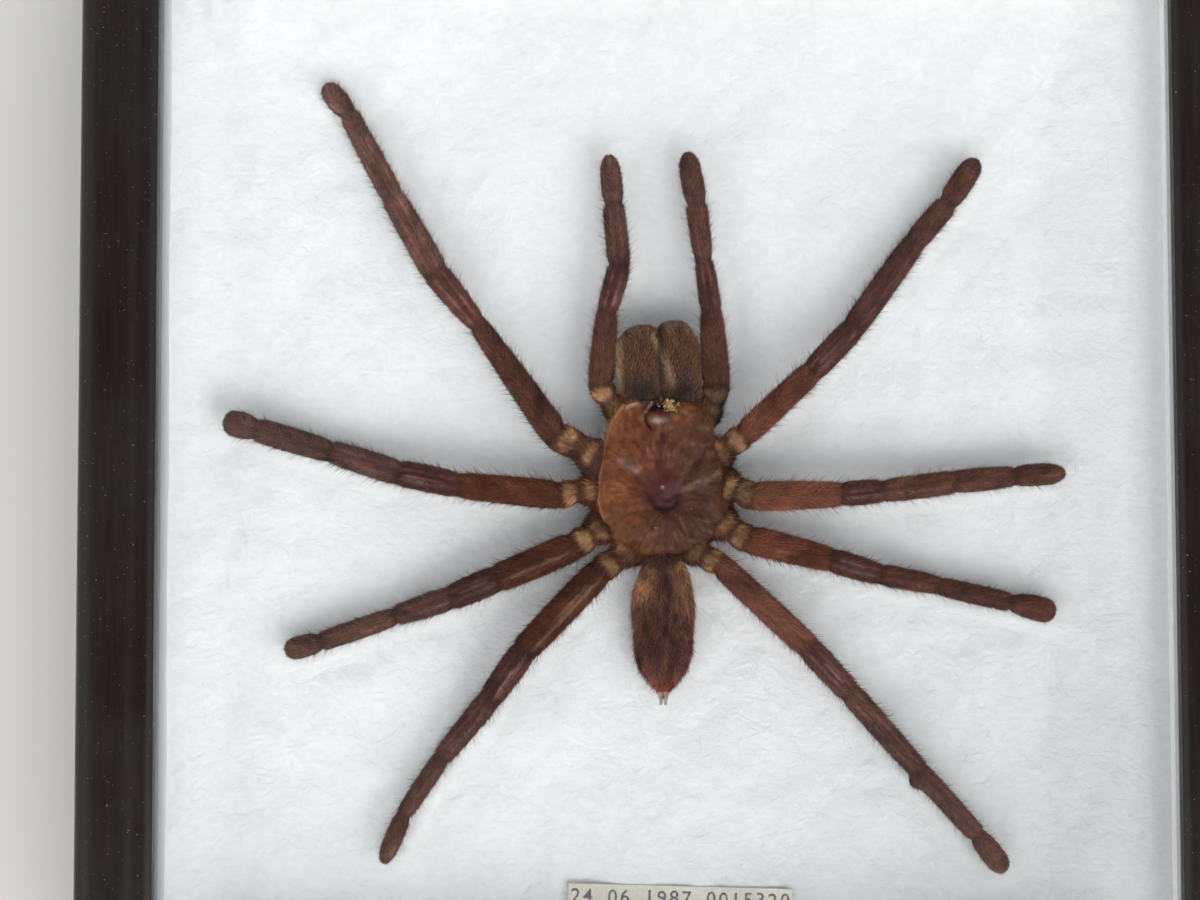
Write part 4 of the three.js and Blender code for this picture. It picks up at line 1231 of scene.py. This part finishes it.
def body_rings(rows, middle, upper_sides, lower_sides, per_span, inset=0.0, fullness=1.0):
    """Rings of points along +Y, each point with how far up its ring it stands, from -1 to 1."""
    angles = np.concatenate([np.linspace(0, math.pi, upper_sides, endpoint=False),
                             np.linspace(math.pi, math.tau, lower_sides, endpoint=False)])
    upright = np.sign(np.sin(angles)) * np.abs(np.sin(angles)) ** fullness
    rows = smooth_curve(rows, per_span)
    rings = []
    for y, x, half, bottom, top in rows:
        half, thick = max(half - inset, 0.25), max((top - bottom) / 2 - inset, 0.25)
        rings.append(np.stack([x + middle + half * np.cos(angles), np.full(len(angles), y),
                               (bottom + top) / 2 + thick * upright], axis=1))
    return np.array(rings), np.tile(np.sin(angles), (len(rows), 1))


def crumbs(places, size, seed):
    """Small angular grains, each on its own place, in millimetres."""
    random = np.random.default_rng(seed)
    corners = np.array([(1, 0, 0), (-1, 0, 0), (0, 1, 0), (0, -1, 0), (0, 0, 1), (0, 0, -1)], float)
    triangles = [(0, 2, 4), (2, 1, 4), (1, 3, 4), (3, 0, 4), (2, 0, 5), (1, 2, 5), (3, 1, 5), (0, 3, 5)]
    grains = []
    for place in places:
        radius = size * random.uniform(0.6, 1.3)
        rough = corners * radius * random.uniform(0.6, 1.2, (6, 1)) + random.normal(0, radius * 0.12, (6, 3))
        grains.append((rough + place, triangles))
    points, faces, _ = joined(*grains)
    return points, faces


def make_carapace():
    rings, upward = body_rings(CARAPACE, 0, 150, 36, 12, 0.1, 0.75)
    points = rings.reshape(-1, 3)
    upward = upward.ravel()
    x, y = points[:, 0], points[:, 1]
    points[:, 2] += carapace_relief(x, y) * rise(upward, 0.45)
    torn = rise(y - 9.5, 2.5) * (0.55 * value_noise(x, np.zeros_like(x), 1.3, 20) - 0.25)
    points[:, 1] += torn
    points[:, 2] += 0.5 * torn * rise(upward, 0.5)
    under = rise(-upward, 0.3) * rise(upward + 1, 0.7)
    under *= rise(points[:, 1] + 14, 3) * rise(2 - points[:, 1], 4)
    points[:, 0] += LEDGE * under * np.sign(points[:, 0])
    shell = points, tube_faces(len(rings), rings.shape[1])
    random = np.random.default_rng(9)
    gold_places = [(px, py, 21.3 + random.uniform(0, 0.4)) for px, py in
                   zip(random.normal(0.9, 0.6, 70), random.normal(11.2, 0.5, 70))]
    grains = crumbs(gold_places, 0.27, 1), crumbs(GLASSY_SPECKS, 0.14, 2)
    all_points, faces, part_numbers = joined(shell, *grains)
    piece = new_piece("carapace_shell", all_points * MM, faces, shell_finish, crumb_finish, speck_finish)
    piece.data.polygons.foreach_set("material_index", part_numbers)
    piece.data.polygons.foreach_set("use_smooth", [number == 0 for number in part_numbers])

    x, y = all_points[:, 0], all_points[:, 1]
    on_shell = np.arange(len(all_points)) < len(points)
    upward = np.concatenate([upward, np.zeros(len(all_points) - len(points))])
    out = np.hypot(x - PIT[0], y - PIT[1]) + 1e-6
    left = rise(-x + 1.5 * value_noise(x, y, 3, 7), 6)
    patches = 0.5 + 0.5 * value_noise(x, y, 2.4, 8)
    blotches = 0.5 + 0.5 * value_noise(x, y, 1.1, 22)
    streaks = 0.5 + 0.5 * value_noise(np.arctan2(y - PIT[1], x - PIT[0]) * 7, out / 4, 0.4, 14)
    rim = np.exp(-((upward - 0.12) / 0.2) ** 2)
    # Painted shade, carried by the dark mask: the shell's underside, its grooves, crack and scratches, and
    # the eye hollow darker, as shade falls in and under them.
    below = rise(-upward - 0.02, 0.1)
    grooves = np.maximum(side_grooves(x, y, 0.7) * 0.3, 0.95 * near_line(x, y, PIT_CRESCENT, 0.5))
    grooves = np.maximum(grooves, 0.45 * near_lines(x, y, HEAD_GROOVES, 0.55))
    grooves = np.maximum(grooves, 0.95 * near_line(x, y, CRACK, 0.2))
    grooves = np.maximum(grooves, 0.6 * near_lines(x, y, REAR_SCRATCHES, 0.16))
    hollow = near_spot(x, y, EYE_HOLLOW[0] - 0.9, EYE_HOLLOW[1], 2.2, 0.95)
    tan = np.maximum(0.65 * near_line(x, y, PALE_RIDGE, 0.8) * 0.45, 0.3 * rim * rise(y + 12, 2))
    tan = np.maximum(tan, 0.85 * near_line(x, y, LEFT_RIM, 0.28))
    torn_edges = [[(px + 0.3, py) for px, py in scratch] for scratch in REAR_SCRATCHES]
    tan = np.maximum(tan, 0.6 * near_lines(x, y, torn_edges, 0.13))
    tan = np.maximum(tan, 0.5 * streaks ** 2 * rise(out - 5, 4) * patches)
    # Painted highlights: the glossy facet by the eyes, the crests of the front folds, the head ridge and a
    # white spot behind the pit; the pale ridge is partly its own pale colour.
    pale = 0.9 * near_spot(x, y, -1.2, 8.75, 1.25, 0.5)
    pale = np.maximum(pale, 0.75 * near_lines(x, y, FRONT_FOLDS, 0.24))
    pale = np.maximum(pale, 0.42 * near_line(x, y, HEAD_RIDGE, 0.75) * (0.6 + 0.4 * patches))
    pale = np.maximum(pale, 0.22 * near_line(x, y, PALE_RIDGE, 0.95))
    pale = np.maximum(pale, near_spot(x, y, -0.45, -2.75, 0.3))
    lay = np.stack([(x - PIT[0]) / out, (y - PIT[1]) / out, np.zeros_like(x)], axis=1)
    golden = 0.1 + 0.5 * rise(x + 1, 6) + 0.35 * left + 0.4 * rim + 0.35 * rise(-y - 7, 4)
    golden *= 1 - 0.9 * np.clip(near_spot(x, y, -1, 3, 3, 8) + near_spot(x, y, 0.1, -4.4, 3.2), 0, 1)
    golden *= 1 - 0.8 * near_spot(x, y, 4.2, 11, 3, 2.2)
    rear = np.maximum(near_line(x, y, ((-1.6, -9.9), (-3.6, -12.2), (-5.6, -13.6)), 0.9),
                      near_line(x, y, ((1.8, -10.6), (3.4, -12.2), (4.8, -13.0)), 0.8))
    thick = 0.7 * golden * (1 - 0.6 * near_spot(x, y, 0.2, -11.5, 4, 3)) + 1.2 * rear
    growth = np.clip(thick * (0.12 + 1.0 * patches * blotches) * (1 - hollow) * (1 - 0.8 * grooves), 0, 1)
    growth *= on_shell * rise(upward + 0.25, 0.2) * rise(out - 1.5, 2)
    shade = 0.95 + 0.22 * value_noise(x, y, 2.8, 16) + 0.1 * value_noise(x, y, 0.8, 17)
    shade = shade + 0.22 * (streaks - 0.5)
    shade *= (1 - 0.32 * rise(x - 1, 6)) * (1 - 0.28 * rise(-y - 7, 4))
    shade *= 1 - 0.3 * near_spot(x, y, 0, -4.5, 3.6, 3.2)
    tan = np.maximum(tan, 0.45 * rear * streaks)
    rust = np.maximum(left * (0.5 + 0.5 * patches), 0.9 * near_spot(x, y, -7, -4.6, 3))
    rust = np.maximum(rust, 0.8 * near_spot(x, y, 4.2, 11.2, 3, 2))
    plum = np.clip(near_spot(x, y, -1, 3.5, 2.9, 7.5) + near_spot(x, y, 0.1, -3.6, 3.7), 0, 1)
    plum = np.maximum(0.95 * plum, 0.6 * rise(x - 1, 4) * patches * rise(9 - y, 4))
    plum = np.maximum(plum, 0.7 * near_spot(x, y, 0.2, -12, 4, 3.5))
    glossy = 0.3 * near_spot(x, y, -0.8, 5, 3.2, 5) + 0.9 * near_spot(x, y, -1.2, 8.8, 1.4, 0.6)
    paint_skin(piece, lay=lay, growth=growth, reach=0.75 + 0.4 * rim + 0.9 * rear, shade=shade,
               rust=rust, plum=plum, tan=tan * (1 - below), pale=pale,
               dark=np.clip(np.maximum.reduce([grooves, hollow, below]), 0, 1),
               stripe=np.clip(glossy, 0, 1), tone=np.full_like(x, 0.5))
    grow_hair(piece, gold_hair, 0.05, (10, 1.05, 0.045, 0.12, 0.28, -0.1, 1),
              (1.3, 1.9, 0.04, 0.28, 0.4, -0.3, 2))
    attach(piece, "root")
    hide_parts("carapace")


# In the shell colours, pale paints the highlights on the facet, folds, head ridge and white spot.
shell_finish = make_skin_material("carapace shell", (0.13, 0.042, 0.02), (
    ("rust", (0.26, 0.072, 0.022)), ("plum", (0.115, 0.018, 0.016)), ("tan", (0.50, 0.24, 0.10)),
    ("dark", (0.018, 0.003, 0.005)), ("pale", (0.42, 0.30, 0.27))), 0.45)
gold_hair = make_hair_material("golden hair", (0.42, 0.15, 0.05), (
    ("tan", (0.85, 0.46, 0.19)), ("plum", (0.30, 0.09, 0.055))))


crumb_finish = make_grain_material("golden crumbs", (0.66, 0.42, 0.2), 0.3, 0.5)
speck_finish = make_grain_material("glassy specks", (0.75, 0.78, 0.8), 0.12, 1.0)
make_carapace()


# ------------------------------------------------------------------ jaws
# Two domed jaws side by side in front of the carapace, covered in brown hair combed forward, with a pale
# stripe along their meeting and a dark glossy fang folded under each.
JAW_ROWS = ((11.4, 0, 3.3, 16.2, 19.8), (13, 0, 3.7, 15.4, 21), (17, -0.3, 4.0, 15, 21.9),
            (20.5, -0.5, 4.05, 14.9, 21.9), (22.8, -0.55, 4.0, 15.1, 21.5), (24.6, -0.5, 3.6, 15.5, 20.7),
            (25.8, -0.4, 2.8, 16.3, 19.6), (26.5, -0.3, 1.6, 17, 18.6))
JAW_MIDDLES = {"left": -4.2, "right": 3.1}
JAW_SHORTENING = {"left": 0.95, "right": 1.0}
JAW_STRIPE = ((-2.0, 23.4), (-1.1, 21.4), (0.1, 19.0), (0.9, 17.0), (1.4, 14.6))
FANG_SIDES = 14

jaw_skin = make_skin_material("jaw skin", (0.045, 0.024, 0.017), (
    ("tan", (0.28, 0.17, 0.09)), ("dark", (0.012, 0.008, 0.008))), 0.5)
jaw_hair = make_hair_material("jaw hair", (0.42, 0.22, 0.125), (
    ("red", (0.38, 0.15, 0.10)), ("tan", (1.0, 0.64, 0.38)), ("dark", (0.05, 0.03, 0.025))))
fang_finish = make_grain_material("fang", (0.03, 0.016, 0.012), 0.18, 0.6)


def tapered_tube(path, start_radius, end_radius, sides):
    """A closed tube along a smooth path, in millimetres, round in section."""
    spine = smooth_curve(path, 6)
    angles = np.arange(sides) * math.tau / sides
    ahead = np.gradient(spine, axis=0)
    rings = []
    for number, (centre, along) in enumerate(zip(spine, ahead)):
        share = number / (len(spine) - 1)
        across = unit(np.cross(along, (0.0, 0.05, 1.0)))
        over = unit(np.cross(across, along))
        radius = start_radius + (end_radius - start_radius) * share
        rings.append(centre + radius * (np.outer(np.cos(angles), across) + np.outer(np.sin(angles), over)))
    return np.vstack(rings), tube_faces(len(rings), sides)


def make_jaw(side, middle):
    rows = [(11.4 + (row[0] - 11.4) * JAW_SHORTENING[side], *row[1:]) for row in JAW_ROWS]
    rings, upward = body_rings(rows, middle, 36, 20, 7, 0.45)
    points, upward = rings.reshape(-1, 3), upward.ravel()
    points[:, 0] -= 0.9 * math.copysign(1, middle) * rise(points[:, 1] - 20, 6)
    points[:, 2] += 0.1 * value_noise(points[:, 0], points[:, 1], 1.3, 10)
    fang = tapered_tube(((middle - 0.7, 24, 18), (middle - 0.7, 23.6, 15.8), (middle - 0.5, 21, 15.05),
                         (middle - 0.2, 17.4, 14.75)), 1.2, 0.12, FANG_SIDES)
    all_points, faces, part_numbers = joined((points, tube_faces(len(rings), rings.shape[1])), fang)
    jaw = new_piece(f"jaw_{side}", all_points * MM, faces, jaw_skin, fang_finish)
    jaw.data.polygons.foreach_set("material_index", part_numbers)
    smooth_faces(jaw)

    x, y = all_points[:, 0], all_points[:, 1]
    on_jaw = np.arange(len(all_points)) < len(points)
    upward = np.concatenate([upward, np.zeros(len(all_points) - len(points))])
    rounding = rise(y - 21.5, 4.5)
    outward = np.clip((x - middle) / 3.7, -1, 1)
    lay = np.stack([0.2 * outward, 1 - 0.6 * rounding, -0.9 * rounding], axis=1)
    clumps = 0.5 + 0.5 * value_noise(x * 2.2, y * 0.8, 1.6, 11)
    stripe = near_line(x, y, JAW_STRIPE, 0.6) * (0.8 + 0.2 * clumps)
    edge_tan, edge_width = (0.75, 0.9) if side == "left" else (0.2, 1.0)
    outer_edge = edge_tan * rise(abs(middle) / middle * (x - middle) - 2.6, edge_width)
    fringe = 0.5 * rise(y - 22.5, 2.5)
    # Painted shade: dark at the jaw's base under the carapace's front and along the gap between the jaws.
    dark = 0.9 * near_spot(x + 0.4 * clumps, y + 1.6 * clumps, middle + 0.2, 14.2, 2.6, 2.6)
    dark = np.maximum(dark, 0.6 * rise(abs(outward) - 0.6, 0.4) * (side == "right"))
    dark = np.maximum(dark, 0.2 * rise(0.8 - np.abs(x + 0.6), 0.6) * (1 - stripe))
    # Painted light: each jaw's top lighter and its sides darker, in the shade values.
    paint_skin(jaw, lay=lay, growth=on_jaw * (0.75 + 0.25 * rise(upward, 0.5)),
               reach=(0.85 + 0.25 * clumps) * (1 - 0.45 * rounding),
               shade=(0.88 + 0.25 * clumps) * (0.62 + 0.33 * upward),
               red=0.85 * near_spot(x, y, middle + 0.3, 19.5, 2.4, 4.2), dark=np.clip(dark, 0, 1),
               tan=np.clip(np.maximum.reduce([stripe, outer_edge, fringe * clumps]), 0, 1),
               stripe=np.zeros_like(x), tone=np.full_like(x, 0.5))
    grow_hair(jaw, jaw_hair, 0.06, (24, 0.85, 0.045, 0.36, 0.42, -0.15, 1),
              (3.0, 1.6, 0.036, 0.45, 0.45, -0.3, 2))
    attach(jaw, "root")
    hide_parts(f"chelicera_{side}")


for jaw_side, jaw_middle in JAW_MIDDLES.items():
    make_jaw(jaw_side, jaw_middle)


# ------------------------------------------------------------------ abdomen
# The shrunken hind body: soft skin under long shaggy hair combed to the rear, tan tufts near the front and
# a pair of short spinnerets at its tip.
ABDOMEN = ((-39.6, -0.3, 0.8, 16.2, 17.3), (-38, -0.3, 2.2, 15.8, 18), (-35.6, -0.3, 4.1, 15.2, 19),
           (-32.6, -0.3, 5.5, 14.8, 19.8), (-28.5, -0.3, 5.8, 14.6, 20.2), (-23, -0.3, 6.1, 14.6, 20.4),
           (-18.5, -0.2, 5.2, 14.8, 20.3), (-15.6, -0.2, 4, 15.4, 20.0), (-13.4, -0.2, 2.2, 16.4, 19.2))
TAN_TUFTS = ((-3.9, -20.2, 1.6, 3.2), (3.8, -19.8, 1.5, 3.2), (-2.6, -17.2, 1.0, 1.6), (2.6, -17, 1.0, 1.5))

belly_skin = make_skin_material("belly skin", (0.05, 0.027, 0.02), (
    ("tan", (0.22, 0.12, 0.05)), ("dark", (0.015, 0.01, 0.01))), 0.6)
belly_hair = make_hair_material("belly hair", (0.42, 0.165, 0.125), (
    ("red", (0.55, 0.16, 0.085)), ("tan", (1.0, 0.52, 0.25)), ("dark", (0.11, 0.042, 0.038))))
spinneret_finish = make_grain_material("spinnerets", (0.42, 0.34, 0.28), 0.5)


def make_abdomen():
    rings, upward = body_rings(ABDOMEN, 0, 40, 24, 10, 0.75)
    points, upward = rings.reshape(-1, 3), upward.ravel()
    x, y = points[:, 0], points[:, 1]
    points[:, 2] += (0.3 * value_noise(x, y, 3, 12) + 0.18 * value_noise(x, y, 1.2, 13)
                     - 0.35 * near_line(x, y, ((0.3, -20), (0.1, -30)), 0.9)) * rise(upward + 0.3, 0.6)
    spinnerets = [tapered_tube(((-0.3 + 0.4 * sign, -38.4, 16.8), (-0.3 + 0.42 * sign, -39.6, 16.8),
                                (-0.3 + 0.4 * sign, -40.8, 16.7)), 0.5, 0.22, 12) for sign in (-1, 1)]
    all_points, faces, part_numbers = joined((points, tube_faces(len(rings), rings.shape[1])), *spinnerets)
    piece = new_piece("abdomen_haired", all_points * MM, faces, belly_skin, spinneret_finish)
    piece.data.polygons.foreach_set("material_index", [min(number, 1) for number in part_numbers])
    smooth_faces(piece)

    x, y = all_points[:, 0], all_points[:, 1]
    on_skin = np.arange(len(all_points)) < len(points)
    upward = np.concatenate([upward, np.zeros(len(all_points) - len(points))])
    clumps = 0.5 + 0.5 * value_noise(x * 1.5, y * 0.6, 1.5, 15)
    tangle = value_noise(x, y * 0.5, 0.9, 18)
    tan = np.zeros_like(x)
    for tuft in TAN_TUFTS:
        tan = np.maximum(tan, 0.9 * near_spot(x, y, *tuft))
    tan = np.maximum(tan * (0.5 + 0.6 * clumps), 0.3 * clumps * rise(y + 27, 8))
    tan = np.maximum(tan, 0.35 * rise(np.abs(x + 0.3) - 4, 1.5) * (0.4 + 0.6 * clumps))
    dark = np.maximum(0.85 * near_line(x, y, ((0.1, -18.5), (0.6, -21), (0.1, -26), (-0.2, -29)), 1.0),
                      0.85 * near_spot(x, y, -0.2, -15.2, 1.7, 2.6))
    dark = np.maximum(dark, 0.6 * rise(-y - 21.5, 3) * rise(y + 37, 3) * (0.3 + 0.7 * clumps))
    tan = np.maximum(tan, 0.35 * near_line(x, y, ((0.9, -22), (0.6, -28), (-0.3, -34)), 0.35))
    side_lean = 0.35 * np.clip((x + 0.3) / 6, -1, 1) * rise(y + 34, 8)
    side_lean = side_lean + 0.45 * value_noise(x, y, 2.2, 19)
    lay = np.stack([side_lean, np.full_like(x, -1.0), np.full_like(x, -0.06)], axis=1)
    # Painted light: the abdomen's top lighter and its sides darker, in the shade values.
    paint_skin(piece, lay=lay, growth=on_skin * 1.0, reach=np.clip(0.55 + 0.5 * rise(y + 41, 8), 0.5, 1),
               red=np.clip(0.8 * near_spot(x, y, -0.4, -37.9, 2.4, 1.6) + 0.3 * clumps, 0, 1),
               tan=np.clip(tan, 0, 1), dark=np.clip(dark, 0, 1), stripe=np.zeros_like(x),
               tone=np.full_like(x, 0.5),
               shade=(0.95 + 0.45 * tangle) * (0.6 + 0.45 * rise(upward + 0.1, 0.9)))
    grow_hair(piece, belly_hair, 0.06, (22, 1.0, 0.05, 0.32, 0.5, -0.15, 1),
              (4.0, 1.9, 0.042, 0.26, 0.48, -0.25, 2))
    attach(piece, "root")
    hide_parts("abdomen")


make_abdomen()


# ------------------------------------------------------------------ floor, light and camera
# A pale floor, three broad soft lights along the foot side of the case, and a pale sky that is dark straight
# above. The camera looks down through the glass.
FLOOR_REACH = 1.5
FLOOR_DEPTH = 0.0004
LIGHT_HEIGHT = 1.25
LIGHT_SIZE = 1.3
WINDOWS = (("right", 0.9, -1.1, 13), ("middle", 0, -1.4, 4.3), ("left", -0.9, -1.1, 8.4))


def make_stage():
    material, _, shader = new_material("pale floor")
    shader.inputs["Base Color"].default_value = (0.72, 0.70, 0.67, 1)
    shader.inputs["Roughness"].default_value = 0.7
    signs = ((-1, -1), (1, -1), (1, 1), (-1, 1))
    corners = [(x * FLOOR_REACH, y * FLOOR_REACH, -FLOOR_DEPTH) for x, y in signs]
    floor = new_piece("floor", corners, [(0, 1, 2, 3)], material)


def add_light(name, place, power):
    """A round soft light that faces the spider."""
    lamp = bpy.data.lights.new(name, "AREA")
    lamp.shape = "DISK"
    lamp.size = LIGHT_SIZE
    lamp.energy = power
    lamp.color = (1, 0.995, 0.985)
    light = bpy.data.objects.new(name, lamp)
    bpy.context.scene.collection.objects.link(light)
    light.location = place
    direction = np.array((0, 0, 0.015)) - np.array(place)
    light.rotation_euler = (math.acos(-direction[2] / np.linalg.norm(direction)), 0,
                            math.atan2(direction[1], direction[0]) - math.pi / 2)


make_stage()
for light_side, light_x, light_y, light_power in WINDOWS:
    add_light(f"window {light_side}", (light_x, light_y, LIGHT_HEIGHT), light_power)


def make_sky():
    """A pale sky that is dark straight above, where the flat glass would mirror it."""
    sky = bpy.data.worlds.new("sky")
    sky.use_nodes = True
    tree = sky.node_tree
    upward = add_node(tree, "ShaderNodeTexCoord").outputs["Generated"]
    direction = add_node(tree, "ShaderNodeSeparateXYZ", {0: upward})
    overhead = add_ramp(tree, direction.outputs["Z"], (0.895, 1.0), (0.94, 0.03))
    shaded = add_mix(tree, 1.0, (0.93, 0.96, 1), overhead, "MULTIPLY")
    background = tree.nodes["Background"]
    tree.links.new(shaded, background.inputs["Color"])
    background.inputs["Strength"].default_value = 0.87
    bpy.context.scene.world = sky


make_sky()
bpy.context.scene.view_settings.view_transform = "Standard"

camera_data = bpy.data.cameras.new("camera")
camera_data.sensor_width = 36
camera_data.lens = 51
camera_data.clip_start = 0.01
camera = bpy.data.objects.new("camera", camera_data)
bpy.context.scene.collection.objects.link(camera)
camera.location = (-0.0113, -0.008, 0.3162)
camera.rotation_euler = (math.radians(2.27), 0, math.radians(-0.12))
bpy.context.scene.camera = camera
